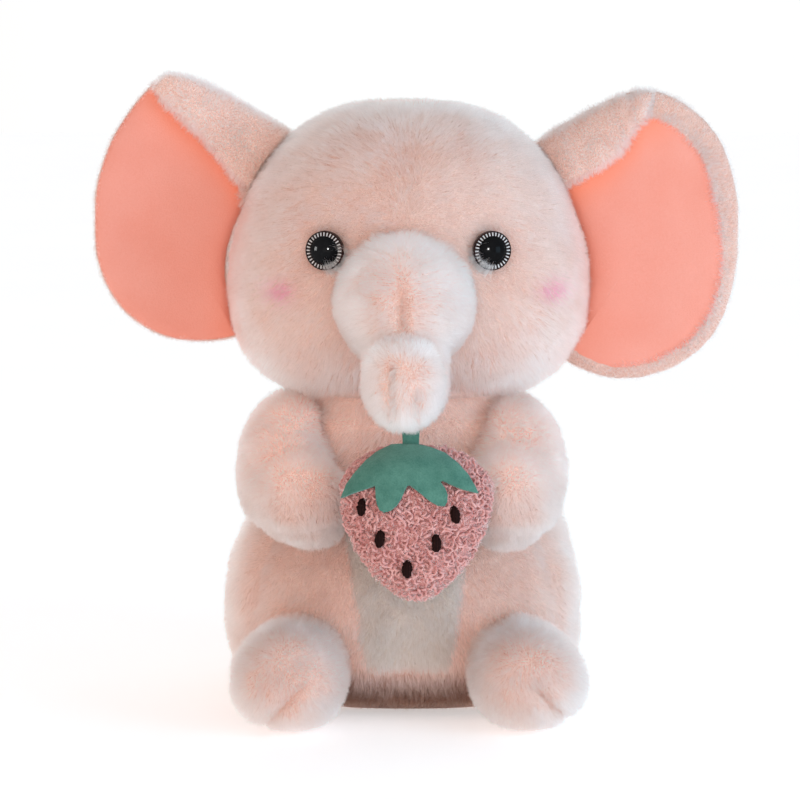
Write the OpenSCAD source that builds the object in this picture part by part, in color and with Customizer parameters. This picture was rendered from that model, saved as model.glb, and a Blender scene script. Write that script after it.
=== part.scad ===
// Seated plush elephant holding a looped-fabric strawberry, in millimetres.
// The toy faces -Y, its own left side is +X, and the flat seat rests on the plane z = 0.

/* [Head] */
// Head width across the cheeks
head_width = 147; // [110:1:170]
// Head depth, forehead to back
head_depth = 114; // [90:1:140]
// Head height
head_height = 124; // [100:1:150]
// Height of the head's centre above the seat
head_centre_z = 183; // [160:1:200]
// Squareness of the head seen from the front (2 is an ellipse)
head_squareness = 2.7; // [2:0.1:4]
// How much narrower the crown is than the cheeks
head_taper = 0.2; // [0:0.01:0.35]

/* [Trunk] */
// Radius of the trunk where it meets the face
trunk_root_r = 28; // [22:0.5:34]
// Radius of the curled tip
trunk_tip_r = 17; // [12:0.5:22]
// How far the trunk stands out from the head's centre line
trunk_reach = 103; // [90:1:120]

/* [Eyes] */
// Distance between the eye centres
eye_spacing = 66.6; // [50:0.2:80]
// Height of the eye centres
eye_z = 188.5; // [170:0.5:200]
// Diameter of the eye rim
eye_diameter = 15.6; // [10:0.2:20]
// How far each eye turns outward, degrees
eye_toe = 18; // [0:1:30]

/* [Ears] */
// Thickness of the ear at the root
ear_thickness = 10; // [6:0.5:14]
// How far the outer edge curls forward
ear_curl = 7; // [0:0.5:20]
// How far behind the head's centre the ear is sewn on
ear_root_y = 12; // [0:1:25]
// Gap between an ear's root and the head
ear_gap = 2.8; // [1:0.1:4]

/* [Torso] */
// Widest part of the body
torso_width = 144; // [120:1:170]
// Deepest part of the body
torso_depth = 120; // [90:1:140]
// Radius of the domed shoulder that the head turns on
neck_r = 44; // [36:1:50]
// Height of the point that the head turns about
neck_z = 118; // [105:1:130]
// How far behind the middle the neck sits
neck_y = 5; // [0:1:12]

/* [Limbs] */
// Radius of the shoulder
shoulder_r = 20; // [15:0.5:24]
// Radius of the paw
paw_r = 17.5; // [13:0.5:20]
// Half the height of the foot
foot_r = 20.5; // [18:0.5:26]
// Width of the foot as a share of its height
foot_wide = 1.07; // [1:0.01:1.2]
// Half the distance between the foot centres
foot_spread = 47.5; // [40:0.5:55]
// Clearance between a limb and the body it moves against
limb_gap = 1.6; // [0.8:0.1:3]

/* [Strawberry] */
// Strawberry width
berry_width = 59; // [45:1:70]
// Strawberry thickness
berry_depth = 31; // [20:1:40]
// Height of the strawberry's pointed end
berry_low_z = 55; // [45:1:65]
// Height of the strawberry's top
berry_high_z = 114.5; // [105:0.5:120]
// Distance of the strawberry's middle in front of the body's middle
berry_y = -83; // [-90:1:-75]
// Felt thickness
felt = 2; // [1:0.1:3]

/* [Fabric] */
// Thickness of the plush, backing and pile together
plush = 3.5; // [2:0.1:6]
// Gap left between two pieces that are sewn together
seam = 0.3; // [0.2:0.05:0.6]

/* [Display] */
// The piece to draw, or all of them

/* [Hidden] */

LEFT = 1;
RIGHT = -1;
big = 700;
// Filling starts this far below the outside of the plush
stuffing = plush + seam;
pink = [0.95, 0.80, 0.76];
peach = [0.96, 0.60, 0.50];
white = [0.97, 0.93, 0.90];
fibre = [0.93, 0.92, 0.90];
black = [0.03, 0.03, 0.03];
brown = [0.22, 0.11, 0.08];
rose = [0.86, 0.52, 0.53];
green = [0.22, 0.55, 0.45];

// Head, as rings of [height, half width, half depth, y]
head_turns = 10;
head_rings = [
    for (i = [0 : head_turns])
        let (
            tilt = -84 + 168 * i / head_turns,
            f = pow(cos(tilt), 2 / head_squareness),
            rise = signed_power(sin(tilt), 2 / head_squareness)
        )
        [
            head_centre_z + head_height / 2 * rise,
            head_width / 2 * f * width_share(rise),
            head_depth / 2 * f * depth_share(rise),
            0,
        ],
];
head_round = 2.3;

// Trunk, as balls of [x, y, z, radius] from the face to the curled tip
trunk_root = [0, -45, 173, trunk_root_r];
trunk_path = [
    trunk_root,
    [0, -trunk_reach + 38, 171, trunk_root_r - 1],
    [0, -trunk_reach + 22, 162, trunk_root_r - 6.5],
    [0, -trunk_reach + 13, 151, trunk_tip_r - 1.5],
    [0, -trunk_reach + 6, 140.5, trunk_tip_r],
    [0, -trunk_reach, 144, trunk_tip_r],
];
trunk_swing_r = trunk_root_r + 3.4;

// Eyes
eye_x = eye_spacing / 2;
eye_rise = (eye_z - head_centre_z) / (head_height / 2);
eye_out = eye_x / (head_width / 2 * width_share(eye_rise));
eye_y = -head_depth / 2 * depth_share(eye_rise) * pow(1 - pow(eye_out, head_round), 1 / head_round);
eye_r = eye_diameter / 2;
eye_sink = 2.2;
rim_wall = 0.6;
ring_width = 0.95;
stem_r = 2;
stem_length = 8;
washer_t = 1.2;
washer_r = 7;

// Ears, as slices of [distance out from the middle, lowest z, highest z]
ear_right_slices = [
    [48, 162, 230], [56, 153, 236], [64, 148, 242], [72, 145.5, 247], [80, 144, 251],
    [90, 144, 255.5], [100, 145.5, 256.5], [110, 150, 248], [117, 155.5, 238.5], [122, 161.5, 231],
    [126.5, 170, 220], [130, 182, 208],
];
ear_left_slices = [
    [54, 148, 230], [62, 138, 234.5], [71, 132.5, 239.5], [81, 129, 245], [92, 128, 250],
    [102, 130, 250], [111, 133.5, 246.5], [119, 138.5, 241], [126, 145.5, 234], [131, 154, 225.5],
    [134.5, 165, 214.5], [137, 181, 202],
];
ear_edge = 3;
ear_skin = 2.8;
ear_lining = 2.2;

// Torso, as rings of [height, half width, half depth, y]
torso_rings = [
    [0, torso_width * 0.38, torso_depth * 0.35, 0],
    [5, torso_width * 0.43, torso_depth * 0.42, 0],
    [14, torso_width * 0.48, torso_depth * 0.47, 0],
    [26, torso_width * 0.498, torso_depth * 0.497, 0],
    [38, torso_width * 0.5, torso_depth * 0.5, 0],
    [52, torso_width * 0.49, torso_depth * 0.475, 0],
    [68, torso_width * 0.456, torso_depth * 0.435, 1],
    [86, torso_width * 0.402, torso_depth * 0.405, 2],
    [102, torso_width * 0.365, torso_depth * 0.395, 4],
    [113, torso_width * 0.345, torso_depth * 0.39, neck_y],
    [119, torso_width * 0.31, torso_depth * 0.37, neck_y],
];
torso_round = 2.4;
dome_rings = [
    for (lift = [-26 : 16 : 86])
        [neck_z + neck_r * sin(lift), neck_r * cos(lift), neck_r * cos(lift), neck_y]
];
neck_open_z = 150;
band_t = 0.8;
band_gap = 0.4;
head_socket_r = neck_r + band_gap + band_t + 0.8;
seat_t = 4;
patch_low_z = 20;
patch_high_z = 92;
patch_low_half = 17.5;
patch_high_half = 26;

// Limbs, as balls of [x, y, z, radius], the feet for the left side
arm_left_path = [
    [40, -14, 107, shoulder_r],
    [43, -38, 96, shoulder_r],
    [40.5, -62, 90, paw_r],
];
arm_right_path = [
    [-46, -14, 107, shoulder_r],
    [-49, -38, 96, shoulder_r],
    [-40.5, -62, 90, paw_r],
];
foot_path = [
    [43.5, -48, foot_r + 1.5, foot_r - 2],
    [45.5, -61, foot_r + 0.5, foot_r - 1],
    [foot_spread, -76, foot_r, foot_r],
];
foot_socket_r = foot_r - 2 + 2.7;
sole_z = 5;
tail_path = [
    [0, torso_depth / 2 + 4.5, 34, 4.5],
    [0, torso_depth / 2 + 10, 29, 4.3],
    [0, torso_depth / 2 + 13, 20, 5.5],
];

// Strawberry, as rings of [height, half width, half depth, y]
berry_x = 3;
berry_height = berry_high_z - berry_low_z;
berry_shape = [
    [0, 0.10, 0.16],
    [0.07, 0.34, 0.46],
    [0.2, 0.60, 0.74],
    [0.38, 0.84, 0.94],
    [0.56, 0.97, 1],
    [0.72, 1, 0.98],
    [0.85, 0.88, 0.84],
    [0.94, 0.62, 0.62],
    [1, 0.26, 0.32],
];
berry_rings = [
    for (s = berry_shape)
        [berry_low_z + s[0] * berry_height, s[1] * berry_width / 2, s[2] * berry_depth / 2, berry_y]
];
berry_round = 2.2;
berry_skin = 3;
leaf_outline = [
    [-31, 94], [-24, 97], [-16, 101], [-13, 90], [-8, 94], [-3, 101], [5, 97], [10, 91],
    [14, 101], [20, 99], [27, 97], [24, 110], [12, 119], [-12, 119], [-24, 111],
];
leaf_stem_w = 7;
leaf_stem_top = 121.5;
seed_places = [[-21, 91], [16, 88.5], [-14, 78.5], [8.5, 77], [-3, 65]];
seed_half_w = 2;
seed_half_h = 3.4;

function signed_power(v, n) = sign(v) * pow(abs(v), n);

// Shares of the head's full width and depth, from the chin at -1 to the crown at 1
function width_share(rise) = 0.975 - (rise > 0 ? head_taper : head_taper / 2) * rise;

function depth_share(rise) = 1 - head_taper / 2 * max(rise, 0);

function arm_path(side) = side == LEFT ? arm_left_path : arm_right_path;

function ear_slices(side) = side == LEFT ? ear_left_slices : ear_right_slices;

// Points of a superellipse, none of them on its axes
function oval(a, b, n, steps) = [
    for (i = [0 : steps - 1])
        let (t = 360 * (i + 0.5) / steps)
        [a * signed_power(cos(t), 2 / n), b * signed_power(sin(t), 2 / n)]
];

// A point on a smooth curve through the points of path, after point i
function curve(path, i, t) =
    let (
        last = len(path) - 1,
        a = path[max(i - 1, 0)],
        b = path[i],
        c = path[min(i + 1, last)],
        d = path[min(i + 2, last)]
    )
    0.5 * (2 * b + (c - a) * t + (2 * a - 5 * b + 4 * c - d) * t * t + (3 * b - a - 3 * c + d) * t * t * t);

// The convex solid between two rings of points
module between(first, second) {
    steps = len(first);
    hull()
        polyhedron(
            points = concat(first, second),
            faces = concat(
                [[for (i = [0 : steps - 1]) i]],
                [[for (i = [steps - 1 : -1 : 0]) steps + i]],
                [for (i = [0 : steps - 1]) [(i + 1) % steps, i, steps + i, steps + (i + 1) % steps]]
            )
        );
}

// A soft form from horizontal rings, made smaller all round by inset
module stack(rings, inset, n, steps) {
    low = rings[0][0];
    high = rings[len(rings) - 1][0];
    squeeze = (high - low - 2 * inset) / (high - low);
    loops = [
        for (r = rings)
            [
                for (p = oval(max(r[1] - inset, 0.5), max(r[2] - inset, 0.5), n, steps))
                    [p[0], p[1] + r[3], low + inset + (r[0] - low) * squeeze]
            ]
    ];
    for (i = [0 : len(rings) - 2])
        between(loops[i], loops[i + 1]);
}

module ball(p, inset, facets) {
    translate([p[0], p[1], p[2]])
        rotate([0, 0, 180 / facets])
            sphere(p[3] - inset, $fn = facets);
}

// A soft tube along a path of balls, made smaller all round by inset
module tube(path, inset, parts, facets) {
    for (i = [0 : len(path) - 2])
        for (k = [0 : parts - 1])
            hull() {
                ball(curve(path, i, k / parts), inset, facets);
                ball(curve(path, i, (k + 1) / parts), inset, facets);
            }
}

// All space on one side of a plane at x, y or z
module beyond_x(x, side) {
    translate([x + side * big / 2, 0, 0])
        cube(big, center = true);
}

module beyond_y(y, side) {
    translate([0, y + side * big / 2, 0])
        cube(big, center = true);
}

module beyond_z(z, side) {
    translate([0, 0, z + side * big / 2])
        cube(big, center = true);
}

module head_form(inset) {
    stack(head_rings, inset, head_round, 28);
}

module torso_form(inset) {
    stack(torso_rings, inset, torso_round, 28);
    stack(dome_rings, inset, 2, 28);
}

module trunk_form(inset) {
    tube(trunk_path, inset, 2, 16);
}

module arm_form(side, inset) {
    tube(arm_path(side), inset, 4, 12);
}

module foot_place(side) {
    mirror([side == RIGHT ? 1 : 0, 0, 0])
        translate([foot_spread, 0, 0])
            scale([foot_wide, 1, 1])
                translate([-foot_spread, 0, 0])
                    children();
}

module foot_form(side, inset) {
    foot_place(side)
        tube(foot_path, inset, 4, 12);
}

module berry_form(inset) {
    translate([berry_x, 0, 0])
        stack(berry_rings, inset, berry_round, 20);
}

// The hollow in which the head turns, and the ones that the trunk and feet move in
module neck_hollow() {
    ball([0, neck_y, neck_z, head_socket_r], 0, 32);
}

module trunk_hollow() {
    ball([trunk_root[0], trunk_root[1], trunk_root[2], trunk_swing_r], 0, 20);
}

module foot_hollows() {
    for (side = [LEFT, RIGHT])
        foot_place(side)
            ball([foot_path[0][0], foot_path[0][1], foot_path[0][2], foot_socket_r], 0, 20);
}

// Eyes: local z points out of the face and is zero at the outside of the plush
module at_eye(side) {
    translate([side * eye_x, eye_y, eye_z])
        rotate([90, 0, side * eye_toe])
            children();
}

module eye_holes() {
    for (side = [LEFT, RIGHT])
        at_eye(side) {
            translate([0, 0, -eye_sink - 0.2])
                cylinder(h = 12, r = eye_r + 0.3, $fn = 20);
            translate([0, 0, -stem_length])
                cylinder(h = 12, r = stem_r + 0.3, $fn = 10);
        }
}

module washer_hollows() {
    for (side = [LEFT, RIGHT])
        at_eye(side)
            translate([0, 0, -stem_length - 1])
                cylinder(h = stem_length + 3, r = washer_r + 0.5, $fn = 14);
}

module eye_dome() {
    ball_r = 6.6;
    cap_r = eye_r - rim_wall - ring_width - 0.2;
    cap_drop = sqrt(ball_r * ball_r - cap_r * cap_r);
    color(black)
        translate([0, 0, -0.6])
            rotate_extrude($fn = 40)
                intersection() {
                    translate([0, -cap_drop + 0.4])
                        circle(ball_r, $fn = 60);
                    square([cap_r, 10]);
                }
}

module eye_ring() {
    color(white)
        translate([0, 0, -0.6])
            difference() {
                cylinder(h = 0.8, r = eye_r - rim_wall - 0.1, $fn = 40);
                translate([0, 0, -1])
                    cylinder(h = 4, r = eye_r - rim_wall - ring_width - 0.1, $fn = 40);
            }
}

module eye_rim() {
    color(brown) {
        difference() {
            translate([0, 0, -eye_sink])
                cylinder(h = eye_sink + 0.4, r = eye_r, $fn = 40);
            translate([0, 0, -0.7])
                cylinder(h = 4, r = eye_r - rim_wall, $fn = 40);
        }
        translate([0, 0, -stem_length])
            cylinder(h = stem_length - eye_sink + 0.1, r = stem_r, $fn = 24);
    }
}

module eye_washer() {
    color(white)
        translate([0, 0, -plush - 2.4 - washer_t])
            difference() {
                cylinder(h = washer_t, r = washer_r, $fn = 32);
                translate([0, 0, -1])
                    cylinder(h = washer_t + 2, r = stem_r + 0.1, $fn = 24);
            }
}

// Head
module head_panel(side) {
    color(pink)
        difference() {
            intersection() {
                head_form(0);
                beyond_x(side * seam / 2, side);
            }
            head_form(plush);
            neck_hollow();
            trunk_hollow();
            eye_holes();
        }
}

module head_filling() {
    color(fibre)
        difference() {
            head_form(stuffing);
            neck_hollow();
            trunk_hollow();
            washer_hollows();
        }
}

// Trunk: the panels start where the trunk leaves the face
module trunk_panel(side) {
    color(pink)
        difference() {
            intersection() {
                trunk_form(0);
                beyond_x(side * seam / 2, side);
                beyond_y(trunk_root[1] - 7, -1);
            }
            trunk_form(plush);
        }
}

module trunk_filling() {
    color(fibre)
        trunk_form(stuffing);
}

// One layer of an ear: edge is its inset all round, front and back its insets from the two faces
module ear_layer(side, edge, front, back, thickness) {
    slices = ear_slices(side);
    ear_in = slices[0][0];
    ear_out = slices[len(slices) - 1][0];
    squeeze = (ear_out - ear_in - 2 * edge) / (ear_out - ear_in);
    loops = [
        for (s = slices)
            let (
                part = (s[0] - ear_in) / (ear_out - ear_in),
                half = ear_thickness / 2 * (1 - 0.3 * part),
                middle = ear_root_y - ear_curl * part * part,
                y_front = middle - half + front,
                y_back = thickness > 0 ? y_front + thickness : middle + half - back,
                x = side * (ear_in + edge + (s[0] - ear_in) * squeeze)
            )
            [
                for (p = oval((y_back - y_front) / 2, (s[2] - s[1]) / 2 - edge, 3, 14))
                    [x, (y_front + y_back) / 2 + p[0], (s[1] + s[2]) / 2 + p[1]]
            ]
    ];
    for (i = [0 : len(loops) - 2])
        between(loops[i], loops[i + 1]);
}

// The top of the ear's plush back, folded forward over the inner panel
module ear_fold(side) {
    front = ear_root_y - ear_thickness / 2;
    drop = side == LEFT ? 6 : 0;
    ridge = [[98, front - 1, 249, 5], [79, front, 244, 6], [58, front + 1, 232, 6]];
    hem = [[95, front - 3, 243, 3], [84, front - 4, 231, 3.2], [69, front - 4, 214, 3.5]];
    for (i = [0 : 1])
        for (k = [0 : 1])
            hull()
                for (p = [ridge, hem], t = [k / 2, (k + 1) / 2]) {
                    at = (1 - t) * p[i] + t * p[i + 1];
                    ball([side * at[0], at[1], at[2] - drop, at[3]], 0, 10);
                }
}

module ear_back(side) {
    color(pink)
        difference() {
            union() {
                difference() {
                    ear_layer(side, 0, 0, 0, 0);
                    ear_layer(side, ear_edge, -20, ear_skin, 0);
                }
                ear_fold(side);
            }
            ear_layer(side, ear_edge, 0, 0, ear_lining + 2 * seam);
            ear_layer(side, ear_edge, ear_lining + seam, ear_skin, 0);
            head_form(-ear_gap);
        }
}

module ear_inner(side) {
    color(peach)
        difference() {
            ear_layer(side, ear_edge + seam, seam, 0, ear_lining);
            head_form(-ear_gap);
        }
}

module ear_padding(side) {
    color(fibre)
        difference() {
            ear_layer(side, ear_edge + seam, ear_lining + 2 * seam, ear_skin + seam, 0);
            head_form(-ear_gap);
        }
}

// The band of fabric that closes the gap between the torso and the head
module neck_band() {
    inner = neck_r + band_gap;
    color(pink)
        translate([0, neck_y, neck_z])
            rotate_extrude($fn = 72)
                intersection() {
                    difference() {
                        circle(inner + band_t, $fn = 120);
                        circle(inner, $fn = 120);
                    }
                    translate([0, 9])
                        square([big, 19]);
                }
}

// Torso
module torso_shell() {
    difference() {
        torso_form(0);
        torso_form(plush);
        beyond_z(neck_open_z, 1);
        foot_hollows();
    }
}

module patch_prism(grow) {
    rotate([90, 0, 0])
        linear_extrude(big)
            polygon([
                [-patch_low_half - grow, patch_low_z - grow],
                [patch_low_half + grow, patch_low_z - grow],
                [patch_high_half + grow, patch_high_z + grow],
                [-patch_high_half - grow, patch_high_z + grow],
            ]);
}

module torso_panel(side, face) {
    color(pink)
        difference() {
            intersection() {
                torso_shell();
                beyond_x(side * seam / 2, side);
                beyond_y(face * seam / 2, face);
                beyond_z(seat_t + seam, 1);
            }
            patch_prism(seam);
        }
}

module belly_patch() {
    color(white)
        intersection() {
            torso_shell();
            patch_prism(0);
        }
}

module seat_panel() {
    color(pink)
        intersection() {
            torso_shell();
            beyond_z(seat_t, -1);
        }
}

module torso_filling() {
    color(fibre)
        difference() {
            torso_form(stuffing);
            foot_hollows();
        }
}

module tail() {
    color(pink)
        difference() {
            tube(tail_path, 0, 4, 10);
            torso_form(-0.8);
        }
}

// Arms
module arm_panel(side, outward) {
    split = arm_path(side)[1][0];
    away = side * outward;
    color(pink)
        difference() {
            intersection() {
                arm_form(side, 0);
                beyond_x(split + away * seam / 2, away);
            }
            arm_form(side, plush);
            torso_form(-limb_gap);
        }
}

module arm_filling(side) {
    color(fibre)
        difference() {
            arm_form(side, stuffing);
            torso_form(-limb_gap);
        }
}

// Feet
module foot_shell(side) {
    difference() {
        foot_form(side, 0);
        foot_form(side, plush);
        beyond_y(foot_path[0][1] + 5, 1);
    }
}

module foot_upper(side) {
    color(pink)
        intersection() {
            foot_shell(side);
            beyond_z(sole_z + seam, 1);
        }
}

module foot_sole(side) {
    color(white)
        intersection() {
            foot_shell(side);
            beyond_z(sole_z, -1);
        }
}

module foot_filling(side) {
    color(fibre)
        foot_form(side, stuffing);
}

// Strawberry
module seed_prisms(grow) {
    for (s = seed_places)
        translate([berry_x + s[0], berry_y, s[1]])
            rotate([90, 0, 0])
                scale([1, (seed_half_h + grow) / (seed_half_w + grow), 1])
                    cylinder(h = berry_depth, r = seed_half_w + grow, $fn = 10);
}

module strawberry_half(face) {
    color(rose)
        difference() {
            intersection() {
                berry_form(0);
                beyond_y(berry_y + face * seam / 2, face);
            }
            berry_form(berry_skin);
            if (face < 0)
                difference() {
                    seed_prisms(0.2);
                    berry_form(1);
                }
        }
}

module strawberry_filling() {
    color(fibre)
        berry_form(berry_skin + seam);
}

module strawberry_leaf() {
    color(green)
        difference() {
            union() {
                intersection() {
                    berry_form(-felt - seam);
                    translate([berry_x, 0, 0])
                        rotate([90, 0, 0])
                            linear_extrude(big)
                                polygon(leaf_outline);
                    beyond_y(berry_y + 2, -1);
                }
                translate([berry_x - leaf_stem_w / 2, berry_y - felt / 2, berry_high_z + seam + 0.5])
                    cube([leaf_stem_w, felt, leaf_stem_top - berry_high_z - seam - 0.5]);
            }
            berry_form(-seam);
        }
}

module strawberry_seeds() {
    color(brown)
        difference() {
            intersection() {
                berry_form(-0.8);
                seed_prisms(0);
            }
            berry_form(0.8);
        }
}

head_panel(LEFT);  // head_left_panel
head_panel(RIGHT);  // head_right_panel
head_filling();
trunk_panel(LEFT);  // trunk_left_panel
trunk_panel(RIGHT);  // trunk_right_panel
trunk_filling();
at_eye(LEFT) eye_dome();  // eye_left_dome
at_eye(LEFT) eye_ring();  // eye_left_ring
at_eye(LEFT) eye_rim();  // eye_left_rim
at_eye(LEFT) eye_washer();  // eye_left_washer
at_eye(RIGHT) eye_dome();  // eye_right_dome
at_eye(RIGHT) eye_ring();  // eye_right_ring
at_eye(RIGHT) eye_rim();  // eye_right_rim
at_eye(RIGHT) eye_washer();  // eye_right_washer
ear_back(LEFT);  // ear_left_back
ear_inner(LEFT);  // ear_left_inner
ear_padding(LEFT);  // ear_left_padding
ear_back(RIGHT);  // ear_right_back
ear_inner(RIGHT);  // ear_right_inner
ear_padding(RIGHT);  // ear_right_padding
neck_band();
torso_panel(LEFT, -1);  // torso_front_left
torso_panel(RIGHT, -1);  // torso_front_right
torso_panel(LEFT, 1);  // torso_back_left
torso_panel(RIGHT, 1);  // torso_back_right
belly_patch();
seat_panel();
torso_filling();
tail();
arm_panel(LEFT, 1);  // arm_left_outer
arm_panel(LEFT, -1);  // arm_left_inner
arm_filling(LEFT);  // arm_left_filling
arm_panel(RIGHT, 1);  // arm_right_outer
arm_panel(RIGHT, -1);  // arm_right_inner
arm_filling(RIGHT);  // arm_right_filling
foot_upper(LEFT);  // foot_left_upper
foot_sole(LEFT);  // foot_left_sole
foot_filling(LEFT);  // foot_left_filling
foot_upper(RIGHT);  // foot_right_upper
foot_sole(RIGHT);  // foot_right_sole
foot_filling(RIGHT);  // foot_right_filling
strawberry_half(-1);  // strawberry_front
strawberry_half(1);  // strawberry_back
strawberry_filling();
strawberry_leaf();
strawberry_seeds();
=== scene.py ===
"""Looks for the seated plush elephant: sewn forms, their fur, the lined ears, the eyes and the strawberry."""

import math

import bmesh
import bpy
import numpy as np
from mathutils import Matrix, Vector, kdtree


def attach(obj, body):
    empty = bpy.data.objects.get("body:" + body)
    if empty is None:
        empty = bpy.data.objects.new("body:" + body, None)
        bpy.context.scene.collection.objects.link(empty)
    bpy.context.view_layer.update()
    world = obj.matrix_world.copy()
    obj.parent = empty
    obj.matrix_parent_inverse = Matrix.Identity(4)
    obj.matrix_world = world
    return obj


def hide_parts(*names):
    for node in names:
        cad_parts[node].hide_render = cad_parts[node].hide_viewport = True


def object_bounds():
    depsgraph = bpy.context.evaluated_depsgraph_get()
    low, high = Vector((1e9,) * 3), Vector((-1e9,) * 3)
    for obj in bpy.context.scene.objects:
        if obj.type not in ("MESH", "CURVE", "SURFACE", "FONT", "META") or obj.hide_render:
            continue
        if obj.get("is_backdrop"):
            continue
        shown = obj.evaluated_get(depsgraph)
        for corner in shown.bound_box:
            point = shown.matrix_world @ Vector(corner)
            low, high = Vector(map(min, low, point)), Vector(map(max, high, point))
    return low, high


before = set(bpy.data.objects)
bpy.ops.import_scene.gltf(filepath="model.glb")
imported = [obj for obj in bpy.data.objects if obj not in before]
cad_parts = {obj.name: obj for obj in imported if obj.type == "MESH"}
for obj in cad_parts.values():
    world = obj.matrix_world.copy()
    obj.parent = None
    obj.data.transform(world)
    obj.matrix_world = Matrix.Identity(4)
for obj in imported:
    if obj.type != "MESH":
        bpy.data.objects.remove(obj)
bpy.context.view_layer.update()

MM = 0.001
rng = np.random.default_rng(11)


# ---------------------------------------------------------------- numbers

def noise3(p, size, seed):
    """Smooth value noise from -1 to 1 at points p, with cells of the given size."""
    q = p / size + seed * 17.31
    base = np.floor(q).astype(np.int64)
    f = q - base
    f = f * f * (3 - 2 * f)
    total = np.zeros(len(p))
    for dx in (0, 1):
        for dy in (0, 1):
            for dz in (0, 1):
                cell = base + (dx, dy, dz)
                h = cell[:, 0] * 374761393 + cell[:, 1] * 668265263 + cell[:, 2] * 2147483647
                h = (h ^ (h >> 13)) * 1274126177
                h = (h ^ (h >> 16)) & 0xFFFF
                w = (
                    (f[:, 0] if dx else 1 - f[:, 0])
                    * (f[:, 1] if dy else 1 - f[:, 1])
                    * (f[:, 2] if dz else 1 - f[:, 2])
                )
                total += w * (h / 32767.5 - 1)
    return total


def smooth(x, xs, ys):
    """A smooth curve through the points (xs, ys), with no overshoot."""
    xs, ys = np.asarray(xs, float), np.asarray(ys, float)
    d = np.diff(ys) / np.diff(xs)
    m = np.zeros(len(xs))
    m[1:-1] = np.where(d[:-1] * d[1:] > 0, 2 * d[:-1] * d[1:] / (d[:-1] + d[1:] + 1e-12), 0)
    m[0], m[-1] = d[0], d[-1]
    i = np.clip(np.searchsorted(xs, x) - 1, 0, len(xs) - 2)
    h = xs[i + 1] - xs[i]
    t = np.clip((x - xs[i]) / h, 0, 1)
    return (
        (2 * t**3 - 3 * t**2 + 1) * ys[i]
        + (t**3 - 2 * t**2 + t) * h * m[i]
        + (-2 * t**3 + 3 * t**2) * ys[i + 1]
        + (t**3 - t**2) * h * m[i + 1]
    )


def step(x, low, high):
    t = np.clip((x - low) / (high - low), 0, 1)
    return t * t * (3 - 2 * t)


def bump(p, centre, width):
    d = (p - np.asarray(centre, float)) / np.asarray(width, float)
    return np.exp(-(d * d).sum(1))


def unit(v):
    return v / np.maximum(np.linalg.norm(v, axis=-1, keepdims=True), 1e-9)


# ---------------------------------------------------------------- meshes, in millimetres until they are objects

def raw_vertices(obj):
    co = np.zeros(len(obj.data.vertices) * 3)
    obj.data.vertices.foreach_get("co", co)
    return co.reshape(-1, 3)


def vertices_of(obj):
    return raw_vertices(obj) / MM


def set_vertices(obj, p):
    obj.data.vertices.foreach_set("co", (p * MM).astype(np.float32).ravel())
    obj.data.update()


def normals_of(obj):
    n = np.zeros(len(obj.data.vertices) * 3)
    obj.data.vertex_normals.foreach_get("vector", n)
    return n.reshape(-1, 3)


def make(name, points, faces):
    mesh = bpy.data.meshes.new(name)
    mesh.from_pydata((np.asarray(points) * MM).tolist(), [], faces)
    mesh.update()
    obj = bpy.data.objects.new(name, mesh)
    bpy.context.collection.objects.link(obj)
    mesh.polygons.foreach_set("use_smooth", np.ones(len(mesh.polygons), bool))
    return obj


def apply_modifiers(obj):
    dg = bpy.context.evaluated_depsgraph_get()
    mesh = bpy.data.meshes.new_from_object(obj.evaluated_get(dg), depsgraph=dg)
    obj.modifiers.clear()
    old = obj.data
    obj.data = mesh
    bpy.data.meshes.remove(old)
    mesh.polygons.foreach_set("use_smooth", np.ones(len(mesh.polygons), bool))
    return obj


def from_bmesh(name, bm):
    mesh = bpy.data.meshes.new(name)
    bm.to_mesh(mesh)
    bm.free()
    obj = bpy.data.objects.new(name, mesh)
    bpy.context.collection.objects.link(obj)
    return obj


def icosphere(name, level):
    """A ball, and its points on a sphere of radius 1."""
    bm = bmesh.new()
    bmesh.ops.create_icosphere(bm, subdivisions=level, radius=1.0)
    obj = from_bmesh(name, bm)
    obj.data.polygons.foreach_set("use_smooth", np.ones(len(obj.data.polygons), bool))
    return obj, raw_vertices(obj)


def lathe(name, rows, around):
    """A closed form from rows of points, one closed ring each, with a fan at either end."""
    rows = [np.asarray(r) for r in rows]
    points = np.concatenate([rows[0].mean(0)[None]] + rows + [rows[-1].mean(0)[None]])
    faces = []
    n = around
    for k in range(n):
        faces.append((0, 1 + (k + 1) % n, 1 + k))
    for i in range(len(rows) - 1):
        a, b = 1 + i * n, 1 + (i + 1) * n
        for k in range(n):
            faces.append((a + k, a + (k + 1) % n, b + (k + 1) % n, b + k))
    last = 1 + (len(rows) - 1) * n
    for k in range(n):
        faces.append((last + k, last + (k + 1) % n, len(points) - 1))
    fan = [(f[0], f[k], f[k + 1]) for f in faces for k in range(1, len(f) - 1)]
    tri = points[np.array(fan)] - points.mean(0)
    if np.einsum("ij,ij->i", tri[:, 0], np.cross(tri[:, 1], tri[:, 2])).sum() < 0:
        faces = [f[::-1] for f in faces]
    return make(name, points, faces)


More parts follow.
